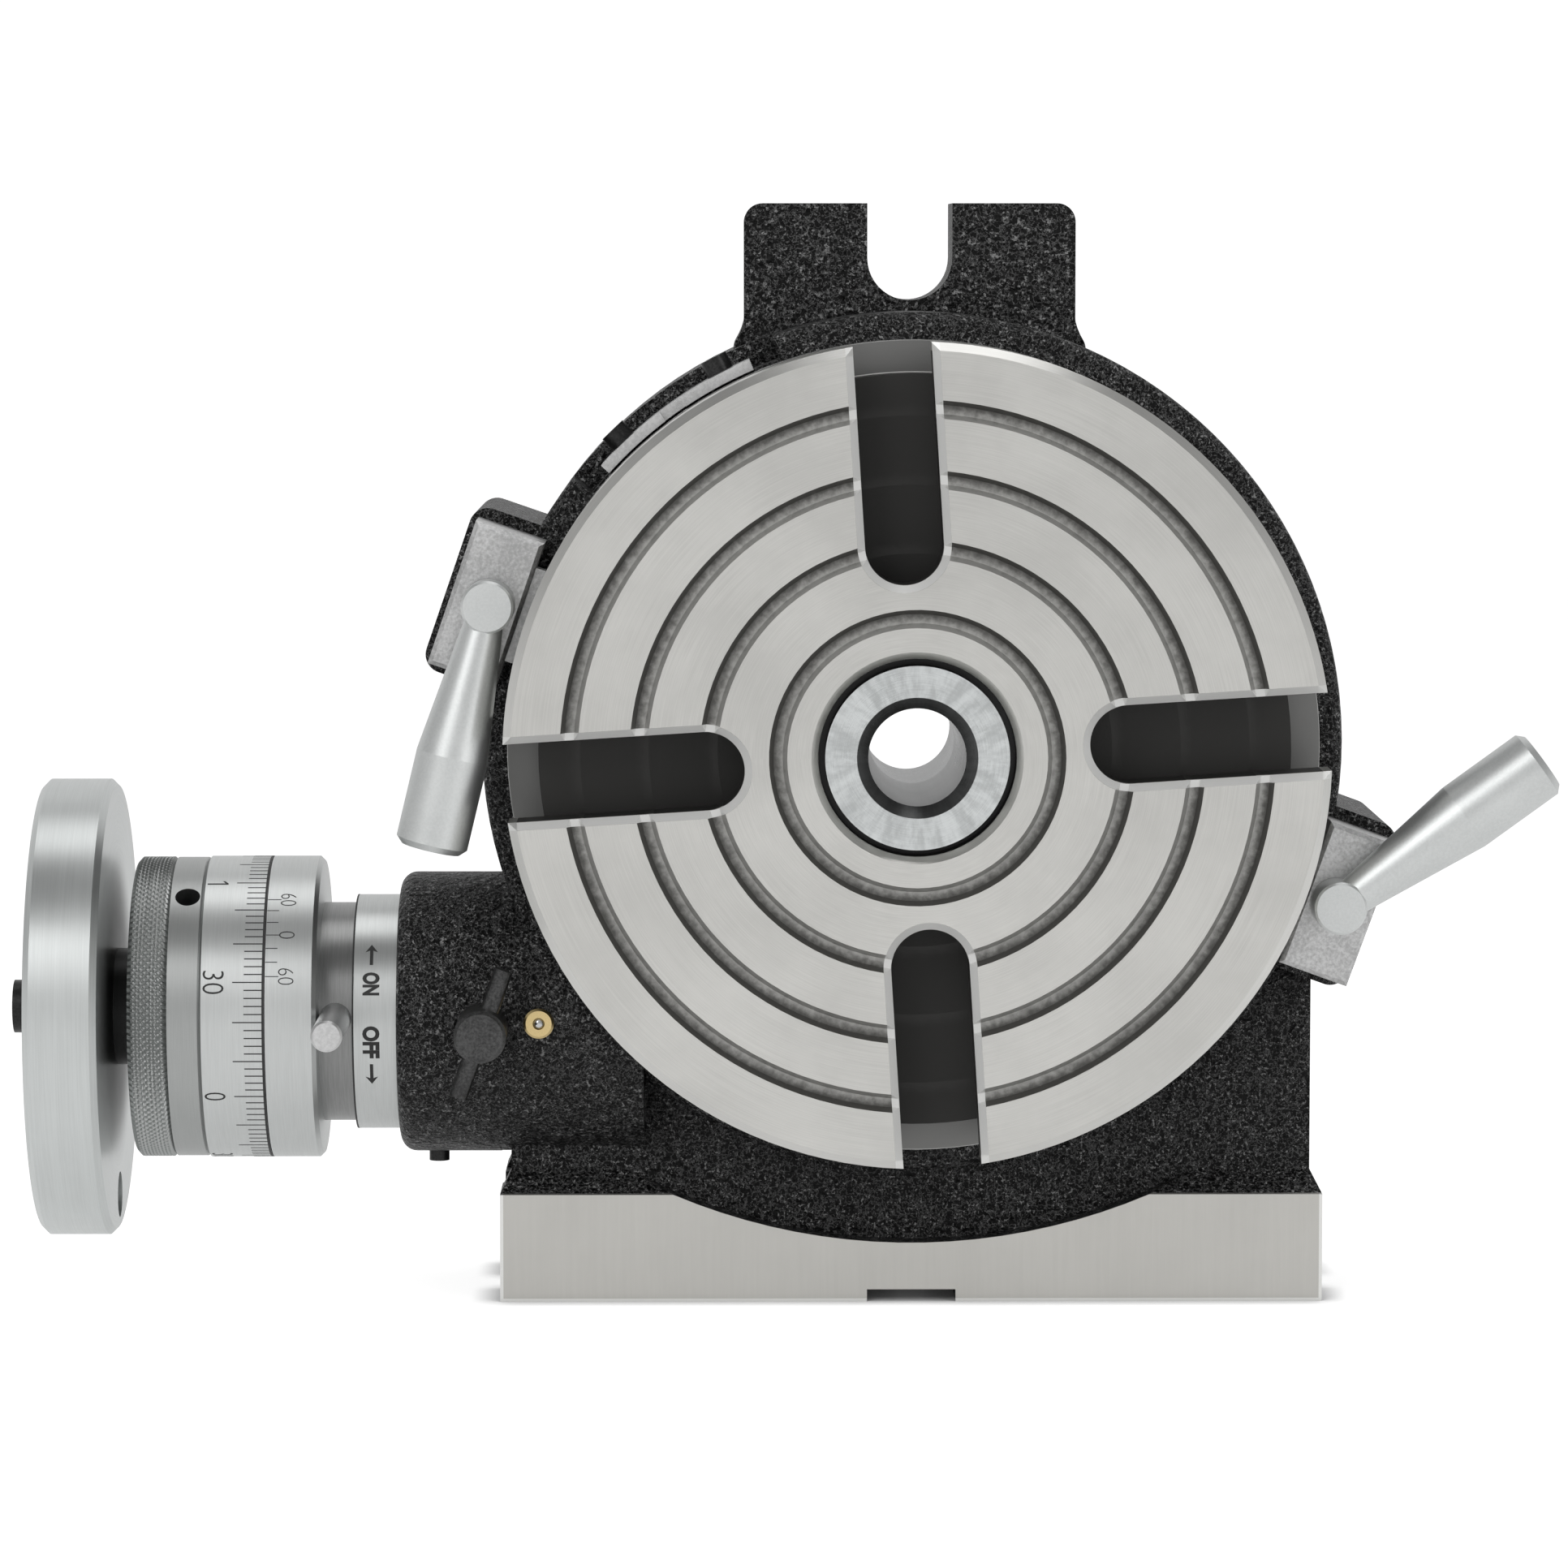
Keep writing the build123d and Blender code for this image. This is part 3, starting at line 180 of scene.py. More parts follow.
def addNode(tree, kind, **settings):
    made = tree.nodes.new(kind)
    for key, value in settings.items():
        setattr(made, key, value)
    return made


def feed(tree, socket, value):
    if hasattr(value, "is_linked"):
        tree.links.new(value, socket)
    else:
        socket.default_value = value


def calc(tree, operation, first, second=0.0, clamp=False):
    made = addNode(tree, "ShaderNodeMath", operation=operation, use_clamp=clamp)
    for socket, value in zip(made.inputs, (first, second)):
        feed(tree, socket, value)
    return made.outputs[0]


def blendColour(tree, factor, first, second):
    made = addNode(tree, "ShaderNodeMix", data_type="RGBA")
    feed(tree, made.inputs[0], factor)
    feed(tree, made.inputs[6], first)
    feed(tree, made.inputs[7], second)
    return made.outputs[2]


def blendValue(tree, factor, first, second):
    made = addNode(tree, "ShaderNodeMix", data_type="FLOAT")
    feed(tree, made.inputs[0], factor)
    feed(tree, made.inputs[2], first)
    feed(tree, made.inputs[3], second)
    return made.outputs[0]


def ramp(tree, value, low, high, first=0.0, last=1.0):
    made = addNode(tree, "ShaderNodeMapRange", interpolation_type="SMOOTHSTEP")
    for index, setting in enumerate((value, low, high, first, last)):
        feed(tree, made.inputs[index], setting)
    return made.outputs[0]


def noise(tree, vector, scale, detail=3.0, roughness=0.5):
    made = addNode(tree, "ShaderNodeTexNoise")
    feed(tree, made.inputs["Vector"], vector)
    feed(tree, made.inputs["Scale"], scale)
    feed(tree, made.inputs["Detail"], detail)
    feed(tree, made.inputs["Roughness"], roughness)
    return made.outputs["Fac"]


def grey(value):
    return (value, value, value, 1.0)


def tint(colour, factor):
    # The same colour, darker or lighter
    return tuple(min(part * factor, 1) for part in colour[:3]) + (1.0,)


def placeOnAxis(tree, axis):
    # Object coordinates, centred on the axis and turned so that it runs along z
    coordinates = addNode(tree, "ShaderNodeTexCoord").outputs["Object"]
    mapping = addNode(tree, "ShaderNodeMapping")
    tree.links.new(coordinates, mapping.inputs["Vector"])
    centre = axis["centre"]
    if axis["along"] == "y":
        mapping.inputs["Rotation"].default_value = (math.pi / 2, 0, 0)
        mapping.inputs["Location"].default_value = (-centre[0], centre[2], -centre[1])
    else:
        mapping.inputs["Rotation"].default_value = (0, -math.pi / 2, 0)
        mapping.inputs["Location"].default_value = (centre[2], -centre[1], -centre[0])
    return mapping.outputs["Vector"]


def objectPlace(tree):
    # Object coordinates, whole and as x, y and z
    coordinates = addNode(tree, "ShaderNodeTexCoord").outputs["Object"]
    split = addNode(tree, "ShaderNodeSeparateXYZ")
    tree.links.new(coordinates, split.inputs[0])
    return coordinates, split.outputs


def groupTree(name, inputs, outputs):
    tree = bpy.data.node_groups.new(name, "ShaderNodeTree")
    for label, kind, default in inputs:
        socket = tree.interface.new_socket(label, in_out="INPUT", socket_type=kind)
        if default is not None:
            socket.default_value = default
    for label, kind in outputs:
        tree.interface.new_socket(label, in_out="OUTPUT", socket_type=kind)
    return tree, tree.nodes.new("NodeGroupInput"), tree.nodes.new("NodeGroupOutput")


def useGroup(tree, group, **values):
    made = addNode(tree, "ShaderNodeGroup")
    made.node_tree = group
    for label, value in values.items():
        feed(tree, made.inputs[label], value)
    return made


def makeTurnedGroup():
    # Lathe marks: lines that follow the radius on faces and the length on cylinders
    tree, start, end = groupTree("turnedMarks", [("Vector", "NodeSocketVector", None),
                                                 ("Fineness", "NodeSocketFloat", 6000.0)],
                                 [("Lines", "NodeSocketFloat"), ("Cloud", "NodeSocketFloat"),
                                  ("Radius", "NodeSocketFloat"), ("FanSheen", "NodeSocketFloat")])
    split = addNode(tree, "ShaderNodeSeparateXYZ")
    tree.links.new(start.outputs["Vector"], split.inputs[0])
    x, y, z = split.outputs
    radius = calc(tree, "SQRT", calc(tree, "ADD", calc(tree, "MULTIPLY", x, x), calc(tree, "MULTIPLY", y, y)))
    angle = calc(tree, "ARCTAN2", y, x)
    joined = addNode(tree, "ShaderNodeCombineXYZ")
    feed(tree, joined.inputs[0], radius)
    feed(tree, joined.inputs[1], z)
    feed(tree, joined.inputs[2], calc(tree, "MULTIPLY", angle, 0.0006))
    tree.links.new(noise(tree, joined.outputs[0], start.outputs["Fineness"], 2.0, 0.6), end.inputs["Lines"])
    tree.links.new(noise(tree, start.outputs["Vector"], 45.0, 4.0, 0.6), end.inputs["Cloud"])
    tree.links.new(radius, end.inputs["Radius"])
    # Fan: radial streaks, used as a painted sheen on the sleeve's face
    spokes = addNode(tree, "ShaderNodeCombineXYZ")
    feed(tree, spokes.inputs[0], calc(tree, "SINE", angle))
    feed(tree, spokes.inputs[1], calc(tree, "COSINE", angle))
    feed(tree, spokes.inputs[2], calc(tree, "MULTIPLY", radius, 30.0))
    tree.links.new(noise(tree, spokes.outputs[0], 6.0, 4.0, 0.65), end.inputs["FanSheen"])
    return tree


def makeWrinkleGroup():
    # Coarse wrinkle paint: lumps about a millimetre across, with painted highlights: light glints on the fine grain
    # between them and light lines along the fold ridges
    tree, start, end = groupTree("wrinklePaint", [("Vector", "NodeSocketVector", None),
                                                  ("Size", "NodeSocketFloat", 1.0)],
                                 [("Height", "NodeSocketFloat"), ("PaintedHighlights", "NodeSocketFloat"),
                                  ("Cloud", "NodeSocketFloat")])
    vector, size = start.outputs["Vector"], start.outputs["Size"]
    lumps = noise(tree, vector, calc(tree, "DIVIDE", 520.0, size), 4.0, 0.62)
    fine = noise(tree, vector, calc(tree, "DIVIDE", 1700.0, size), 2.0, 0.6)
    cells = addNode(tree, "ShaderNodeTexVoronoi", feature="SMOOTH_F1")
    feed(tree, cells.inputs["Vector"], vector)
    feed(tree, cells.inputs["Scale"], calc(tree, "DIVIDE", 700.0, size))
    cells.inputs["Smoothness"].default_value = 0.6
    height = calc(tree, "ADD", calc(tree, "MULTIPLY", lumps, 0.9), calc(tree, "MULTIPLY", fine, 0.25))
    height = calc(tree, "SUBTRACT", height, calc(tree, "MULTIPLY", cells.outputs["Distance"], 0.35))
    tree.links.new(height, end.inputs["Height"])
    # Painted highlights: glints and fold ridges coloured light, standing in for the sheen of the glossy wrinkles
    folds = noise(tree, vector, calc(tree, "DIVIDE", 950.0, size), 3.0, 0.6)
    ridge = calc(tree, "ABSOLUTE", calc(tree, "SUBTRACT", folds, 0.5))
    glints = calc(tree, "MULTIPLY", ramp(tree, fine, 0.56, 0.64), ramp(tree, lumps, 0.4, 0.6, 0.2, 1.0))
    highlightMask = calc(tree, "MAXIMUM", glints, calc(tree, "MULTIPLY", ramp(tree, ridge, 0.045, 0.0), 0.35))
    tree.links.new(highlightMask, end.inputs["PaintedHighlights"])
    tree.links.new(noise(tree, vector, 55.0, 3.0, 0.5), end.inputs["Cloud"])
    return tree


turnedMarks = makeTurnedGroup()
wrinklePaint = makeWrinkleGroup()


def startMaterial(name):
    material = bpy.data.materials.new(name)
    material.use_nodes = True
    tree = material.node_tree
    tree.nodes.clear()
    output = addNode(tree, "ShaderNodeOutputMaterial")
    surface = addNode(tree, "ShaderNodeBsdfPrincipled")
    tree.links.new(surface.outputs[0], output.inputs[0])
    return material, tree, surface


def addBump(tree, surface, height, strength, distance):
    bump = addNode(tree, "ShaderNodeBump")
    bump.inputs["Strength"].default_value = strength
    bump.inputs["Distance"].default_value = distance
    tree.links.new(height, bump.inputs["Height"])
    tree.links.new(bump.outputs[0], surface.inputs["Normal"])


lathe = {"depth": 0.00001, "groundDepth": 0.000015, "strength": 0.5, "low": 0.3, "high": 0.7}


def lineShade(tree, marks, lineShare=0.6):
    # Lathe lines and clouding mixed into one value
    return calc(tree, "ADD", calc(tree, "MULTIPLY", marks.outputs["Lines"], lineShare),
                calc(tree, "MULTIPLY", marks.outputs["Cloud"], 1 - lineShare))


def shadeMetal(tree, shade, dark, light):
    return blendColour(tree, ramp(tree, shade, lathe["low"], lathe["high"]), dark, light)


def cloudyRoughness(tree, marks, roughness, low=0.85, high=1.2):
    return blendValue(tree, marks.outputs["Cloud"], roughness * low, roughness * high)


def turnedMetal(name, axis, colour, roughness=0.3, fineness=6000.0, contrast=0.12):
    # Turned metal: fine lines and faint clouding
    material, tree, surface = startMaterial(name)
    marks = useGroup(tree, turnedMarks, Vector=placeOnAxis(tree, axis), Fineness=fineness)
    dark, light = tint(colour, 1 - contrast), tint(colour, 1 + contrast * 0.6)
    feed(tree, surface.inputs["Base Color"], shadeMetal(tree, lineShade(tree, marks), dark, light))
    feed(tree, surface.inputs["Roughness"], cloudyRoughness(tree, marks, roughness))
    surface.inputs["Metallic"].default_value = 1.0
    addBump(tree, surface, marks.outputs["Lines"], lathe["strength"], lathe["depth"])
    return material


casting = {
    "paintDark": 0.001, "paintLight": 0.003, "lumpColour": 0.034, "lumpLow": 0.40, "lumpHigh": 0.72,
    "highlightColour": 0.34, "highlightShare": 0.9, "roughness": 0.42, "highlightRoughness": 0.25, "gloss": 0.16,
    "machined": (0.60, 0.59, 0.56, 1.0), "machinedDark": 0.86, "machinedLight": 1.08, "machinedRoughness": 0.36,
    "machinedMetallic": 0.9, "millScale": (900, 900, 40), "millShare": 0.4, "millHeight": 0.03,
    "bumpDistance": 0.0011, "fineness": 3000.0,
    "footFront": -0.0152, "footTop": 0.0246, "backFace": 0.02985, "sole": 0.0001, "pocketRadius": 0.0341,
    "footSide": 0.077, "edge": 0.0006, "edgeHighlight": (0.85, 0.85, 0.83, 1.0),
}


def castingMaterial():
    # Black wrinkle paint, left off where the casting is machined
    material, tree, surface = startMaterial("castingPaint")
    coordinates, (x, y, z) = objectPlace(tree)
    paint = useGroup(tree, wrinklePaint, Vector=coordinates, Size=1.0)
    onFoot = calc(tree, "MULTIPLY", calc(tree, "LESS_THAN", y, casting["footFront"]),
                  calc(tree, "LESS_THAN", z, casting["footTop"]))
    onBack = calc(tree, "GREATER_THAN", y, casting["backFace"])
    onSole = calc(tree, "LESS_THAN", z, casting["sole"])
    marks = useGroup(tree, turnedMarks, Vector=placeOnAxis(tree, tableAxis), Fineness=casting["fineness"])
    inPocket = calc(tree, "LESS_THAN", marks.outputs["Radius"], casting["pocketRadius"])
    bare = calc(tree, "MAXIMUM", calc(tree, "MAXIMUM", onFoot, onBack), calc(tree, "MAXIMUM", onSole, inPocket))
    paintColour = blendColour(tree, paint.outputs["Cloud"], grey(casting["paintDark"]),
                              grey(casting["paintLight"]))
    lumps = ramp(tree, paint.outputs["Height"], casting["lumpLow"], casting["lumpHigh"])
    paintColour = blendColour(tree, lumps, paintColour, grey(casting["lumpColour"]))
    # Painted highlights: the wrinkles' glints and ridges are coloured light
    highlightLevel = calc(tree, "MULTIPLY", paint.outputs["PaintedHighlights"], casting["highlightShare"])
    paintColour = blendColour(tree, highlightLevel, paintColour, grey(casting["highlightColour"]))
    # Milling marks run up the foot's faces
    streaks = addNode(tree, "ShaderNodeMapping")
    tree.links.new(coordinates, streaks.inputs["Vector"])
    streaks.inputs["Scale"].default_value = casting["millScale"]
    milled = noise(tree, streaks.outputs[0], 1.0, 3.0, 0.6)
    metalShade = calc(tree, "ADD", calc(tree, "MULTIPLY", milled, casting["millShare"]),
                      calc(tree, "MULTIPLY", marks.outputs["Cloud"], 1 - casting["millShare"]))
    metalColour = blendColour(tree, metalShade, tint(casting["machined"], casting["machinedDark"]),
                              tint(casting["machined"], casting["machinedLight"]))
    # Painted highlight: the broken edges of the foot's front are coloured light, as if they caught the light
    atSide = calc(tree, "GREATER_THAN", calc(tree, "ABSOLUTE", x), casting["footSide"] - casting["edge"])
    footEdgeHighlight = calc(tree, "MAXIMUM", calc(tree, "LESS_THAN", z, casting["edge"]), atSide)
    footEdgeHighlight = calc(tree, "MULTIPLY", footEdgeHighlight, onFoot)
    metalColour = blendColour(tree, footEdgeHighlight, metalColour, casting["edgeHighlight"])
    feed(tree, surface.inputs["Base Color"], blendColour(tree, bare, paintColour, metalColour))
    feed(tree, surface.inputs["Metallic"], calc(tree, "MULTIPLY", bare, casting["machinedMetallic"]))
    surface.inputs["Specular IOR Level"].default_value = casting["gloss"]
    paintRoughness = blendValue(tree, paint.outputs["PaintedHighlights"], casting["roughness"], casting["highlightRoughness"])
    feed(tree, surface.inputs["Roughness"], blendValue(tree, bare, paintRoughness, casting["machinedRoughness"]))
    millRelief = calc(tree, "MULTIPLY", milled, casting["millHeight"])
    height = blendValue(tree, bare, paint.outputs["Height"], millRelief)
    addBump(tree, surface, height, 1.0, casting["bumpDistance"])
    return material


table = {
    "face": (0.63, 0.625, 0.60, 1.0), "faceDark": 0.88, "faceLight": 1.06, "chamferHighlight": (0.76, 0.76, 0.745, 1.0),
    "grooveShade": (0.085, 0.083, 0.077, 1.0), "recessShade": (0.036, 0.035, 0.033, 1.0), "faceFront": 0.050,
    "skin": 0.00003, "slotDepthStart": 0.0024, "insideRadius": 0.0734, "rimRadius": 0.0735, "rimHighlightLevel": 0.3,
    "grooveStart": 0.0225, "grooveFirst": 0.0252, "groovePitch": 0.0126, "grooveWidth": 0.0033,
    "shadeNoiseScale": 700.0, "shadeNoiseShare": 0.7, "roughness": 0.3, "grooveRoughness": 0.5, "cutMetallic": 0.35,
    "slotMetallic": 0.4, "turn": 3.6, "slotHalf": 0.0071, "slotChamfer": 0.0014, "slotStart": 0.0384,
    "rimChamfer": 0.0015, "boreWall": 0.0181, "boreShade": 0.0014, "lineShare": 0.45, "fineness": 5200.0,
}


def tableMaterial():
    # Ground and turned iron: bright face, painted highlights on the chamfers, painted shade in the grooves, slots and
    # bore
    material, tree, surface = startMaterial("tableIron")
    marks = useGroup(tree, turnedMarks, Vector=placeOnAxis(tree, tableAxis), Fineness=table["fineness"])
    radius = marks.outputs["Radius"]
    coordinates, (x, y, z) = objectPlace(tree)
    depth = calc(tree, "ADD", y, table["faceFront"])
    belowFace = calc(tree, "GREATER_THAN", depth, table["skin"])
    inside = calc(tree, "LESS_THAN", radius, table["insideRadius"])
    face = shadeMetal(tree, lineShade(tree, marks, table["lineShare"]), tint(table["face"], table["faceDark"]),
                      tint(table["face"], table["faceLight"]))
    shadeNoise = noise(tree, coordinates, table["shadeNoiseScale"], 3.0, 0.6)
    # Painted shade in each groove: darkest at its outer wall, clearing towards the inner one
    cut = calc(tree, "MULTIPLY", belowFace, inside)
    cut = calc(tree, "MULTIPLY", cut, calc(tree, "GREATER_THAN", radius, table["grooveStart"]))
    start = calc(tree, "SUBTRACT", radius, table["grooveFirst"] - table["grooveWidth"] / 2)
    place = calc(tree, "MULTIPLY", calc(tree, "FRACT", calc(tree, "DIVIDE", start, table["groovePitch"])),
                 table["groovePitch"] / table["grooveWidth"])
    uneven = calc(tree, "MULTIPLY", calc(tree, "SUBTRACT", shadeNoise, 0.5), table["shadeNoiseShare"])
    place = calc(tree, "ADD", place, uneven)
    grooveShadeLevel = calc(tree, "MULTIPLY", ramp(tree, place, 0.02, 0.8, 0.3, 1.0), cut)
    # Painted shade on the slot floors
    slotShadeLevel = calc(tree, "MULTIPLY", calc(tree, "GREATER_THAN", depth, table["slotDepthStart"]), inside)
    face = blendColour(tree, grooveShadeLevel, face, table["grooveShade"])
    face = blendColour(tree, slotShadeLevel, face, table["recessShade"])
    # Distance from the nearest slot's middle line, to find its chamfer
    turned = addNode(tree, "ShaderNodeVectorRotate", rotation_type="Y_AXIS")
    tree.links.new(coordinates, turned.inputs["Vector"])
    turned.inputs["Center"].default_value = tableAxis["centre"]
    turned.inputs["Angle"].default_value = math.radians(table["turn"])
    sides = addNode(tree, "ShaderNodeSeparateXYZ")
    tree.links.new(turned.outputs[0], sides.inputs[0])
    across = calc(tree, "ABSOLUTE", sides.outputs[0])
    upward = calc(tree, "ABSOLUTE", calc(tree, "SUBTRACT", sides.outputs[2], tableAxis["centre"][2]))

    def fromSlot(lateral, along):
        short = calc(tree, "MAXIMUM", calc(tree, "SUBTRACT", table["slotStart"], along), 0.0)
        return calc(tree, "SQRT", calc(tree, "ADD", calc(tree, "MULTIPLY", lateral, lateral),
                                       calc(tree, "MULTIPLY", short, short)))

    nearest = calc(tree, "MINIMUM", fromSlot(across, upward), fromSlot(upward, across))
    # Painted highlight on the slot and rim chamfers
    chamferHighlightLevel = calc(tree, "MULTIPLY",
                        calc(tree, "LESS_THAN", nearest, table["slotHalf"] + table["slotChamfer"]),
                        calc(tree, "GREATER_THAN", nearest, table["slotHalf"] + table["skin"]))
    rimHighlightLevel = calc(tree, "MULTIPLY", calc(tree, "GREATER_THAN", radius, table["rimRadius"]), table["rimHighlightLevel"])
    chamferHighlightLevel = calc(tree, "MAXIMUM", chamferHighlightLevel, rimHighlightLevel)
    chamferHighlightLevel = calc(tree, "MULTIPLY", chamferHighlightLevel, belowFace)
    chamferHighlightLevel = calc(tree, "MULTIPLY", chamferHighlightLevel, calc(tree, "LESS_THAN", depth, table["rimChamfer"]))
    face = blendColour(tree, chamferHighlightLevel, face, table["chamferHighlight"])
    # Painted shade on the bore wall below the face
    boreShadeLevel = calc(tree, "MULTIPLY", calc(tree, "LESS_THAN", radius, table["boreWall"]),
                     calc(tree, "GREATER_THAN", depth, table["boreShade"]))
    face = blendColour(tree, boreShadeLevel, face, table["recessShade"])
    feed(tree, surface.inputs["Base Color"], face)
    cutMetallic = blendValue(tree, cut, 1.0, table["cutMetallic"])
    feed(tree, surface.inputs["Metallic"], blendValue(tree, slotShadeLevel, cutMetallic, table["slotMetallic"]))
    rough = blendValue(tree, grooveShadeLevel, cloudyRoughness(tree, marks, table["roughness"]), table["grooveRoughness"])
    feed(tree, surface.inputs["Roughness"], rough)
    addBump(tree, surface, marks.outputs["Lines"], lathe["strength"], lathe["groundDepth"])
    return material


sleeveFace = {
    "steel": (0.62, 0.64, 0.64, 1.0), "darker": 0.78, "lighter": 1.12, "dark": (0.03, 0.03, 0.03, 1.0),
    "neckRadius": 0.01655, "mouthRadius": 0.0112, "neckTop": -0.0484, "mouthTop": -0.04975, "taperShade": 0.85,
    "lineShare": 0.4, "fanSheenShare": 0.9, "roughness": 0.27, "fineness": 5000.0,
}


def sleeveMaterial():
    # Ground sleeve: face with painted fan-shaped highlights, painted shade on the neck below its edge and in the
    # taper
    material, tree, surface = startMaterial("sleeveSteel")
    marks = useGroup(tree, turnedMarks, Vector=placeOnAxis(tree, tableAxis), Fineness=sleeveFace["fineness"])
    coordinates, (x, y, z) = objectPlace(tree)
    fanned = calc(tree, "ADD", calc(tree, "MULTIPLY", marks.outputs["Lines"], sleeveFace["lineShare"]),
                  calc(tree, "MULTIPLY", marks.outputs["FanSheen"], sleeveFace["fanSheenShare"]))
    steelColour = blendColour(tree, ramp(tree, fanned, 0.45, 0.85), tint(sleeveFace["steel"], sleeveFace["darker"]),
                              tint(sleeveFace["steel"], sleeveFace["lighter"]))
    radius = marks.outputs["Radius"]
    # Painted shade on the neck and in the taper's mouth
    neck = calc(tree, "MULTIPLY", calc(tree, "GREATER_THAN", radius, sleeveFace["neckRadius"]),
                calc(tree, "GREATER_THAN", y, sleeveFace["neckTop"]))
    taper = calc(tree, "MULTIPLY", calc(tree, "LESS_THAN", radius, sleeveFace["mouthRadius"]),
                 calc(tree, "GREATER_THAN", y, sleeveFace["mouthTop"]))
    shaded = calc(tree, "MAXIMUM", neck, calc(tree, "MULTIPLY", taper, sleeveFace["taperShade"]))
    feed(tree, surface.inputs["Base Color"], blendColour(tree, shaded, steelColour, sleeveFace["dark"]))
    feed(tree, surface.inputs["Roughness"], cloudyRoughness(tree, marks, sleeveFace["roughness"], 0.8, 1.25))
    surface.inputs["Metallic"].default_value = 1.0
    addBump(tree, surface, marks.outputs["Lines"], lathe["strength"], lathe["groundDepth"])
    return material


ringFace = {
    "steel": (0.5, 0.5, 0.49, 1.0), "darker": 0.88, "lighter": 1.06, "shade": (0.22, 0.22, 0.215, 1.0),
    "line": (0.85, 0.85, 0.83, 1.0), "wall": 0.0749, "lineInner": 0.0688, "lineOuter": 0.0692,
    "bandRoughness": 0.32, "topRoughness": 0.5, "fineness": 6000.0,
}


def ringMaterial():
    # Bright band with the degrees; duller top face, painted darker as shade, with one scribed line
    material, tree, surface = startMaterial("ringSteel")
    marks = useGroup(tree, turnedMarks, Vector=placeOnAxis(tree, tableAxis), Fineness=ringFace["fineness"])
    radius = marks.outputs["Radius"]
    band = shadeMetal(tree, lineShade(tree, marks), tint(ringFace["steel"], ringFace["darker"]),
                      tint(ringFace["steel"], ringFace["lighter"]))
    scribed = calc(tree, "MULTIPLY", calc(tree, "GREATER_THAN", radius, ringFace["lineInner"]),
                   calc(tree, "LESS_THAN", radius, ringFace["lineOuter"]))
    # Painted shade: the top face is coloured darker than the band
    top = blendColour(tree, scribed, ringFace["shade"], ringFace["line"])
    onTop = calc(tree, "LESS_THAN", radius, ringFace["wall"])
    feed(tree, surface.inputs["Base Color"], blendColour(tree, onTop, band, top))
    feed(tree, surface.inputs["Roughness"],
         blendValue(tree, onTop, ringFace["bandRoughness"], ringFace["topRoughness"]))
    surface.inputs["Metallic"].default_value = 1.0
    addBump(tree, surface, marks.outputs["Lines"], lathe["strength"], lathe["depth"])
    return material


dialFinish = {
    "bright": (0.60, 0.615, 0.61, 1.0), "plainBand": (0.40, 0.41, 0.405, 1.0), "step": -0.1316, "darker": 0.93,
    "lighter": 1.03, "roughness": 0.36, "fineness": 6000.0,
}


def dialMaterial():
    # Matt plated dial, darker on the plain band next to the knurling
    material, tree, surface = startMaterial("dialMetal")
    marks = useGroup(tree, turnedMarks, Vector=placeOnAxis(tree, wormAxis), Fineness=dialFinish["fineness"])
    coordinates, (x, y, z) = objectPlace(tree)
    shade = ramp(tree, lineShade(tree, marks), lathe["low"], lathe["high"], dialFinish["darker"],
                 dialFinish["lighter"])
    plain = calc(tree, "LESS_THAN", x, dialFinish["step"])
    colour = blendColour(tree, plain, dialFinish["bright"], dialFinish["plainBand"])
    scaled = addNode(tree, "ShaderNodeVectorMath", operation="SCALE")
    tree.links.new(colour, scaled.inputs[0])
    tree.links.new(shade, scaled.inputs["Scale"])
    tree.links.new(scaled.outputs[0], surface.inputs["Base Color"])
    feed(tree, surface.inputs["Roughness"], cloudyRoughness(tree, marks, dialFinish["roughness"], 0.9, 1.1))
    surface.inputs["Metallic"].default_value = 1.0
    addBump(tree, surface, marks.outputs["Lines"], lathe["strength"], lathe["depth"])
    return material


wheelFinish = {
    "dark": (0.558, 0.577, 0.572, 1.0), "light": (0.625, 0.646, 0.641, 1.0), "hubShade": (0.03, 0.03, 0.03, 1.0),
    "back": -0.1496, "hubShadeRadius": 0.015, "clearRadius": 0.031, "roughness": 0.34, "fineness": 4500.0,
}


def handwheelMaterial():
    # Turned aluminium, with painted shade on the back round the hub
    material, tree, surface = startMaterial("handwheelMetal")
    marks = useGroup(tree, turnedMarks, Vector=placeOnAxis(tree, wormAxis), Fineness=wheelFinish["fineness"])
    coordinates, (x, y, z) = objectPlace(tree)
    colour = shadeMetal(tree, lineShade(tree, marks), wheelFinish["dark"], wheelFinish["light"])
    # Painted shade on the back face near the hub, where the knurled ring is close
    onBack = calc(tree, "GREATER_THAN", x, wheelFinish["back"])
    nearHub = ramp(tree, marks.outputs["Radius"], wheelFinish["hubShadeRadius"], wheelFinish["clearRadius"], 1.0, 0.0)
    colour = blendColour(tree, calc(tree, "MULTIPLY", onBack, nearHub), colour, wheelFinish["hubShade"])
    feed(tree, surface.inputs["Base Color"], colour)
    feed(tree, surface.inputs["Roughness"], cloudyRoughness(tree, marks, wheelFinish["roughness"]))
    surface.inputs["Metallic"].default_value = 1.0
    addBump(tree, surface, marks.outputs["Lines"], lathe["strength"], lathe["depth"])
    return material


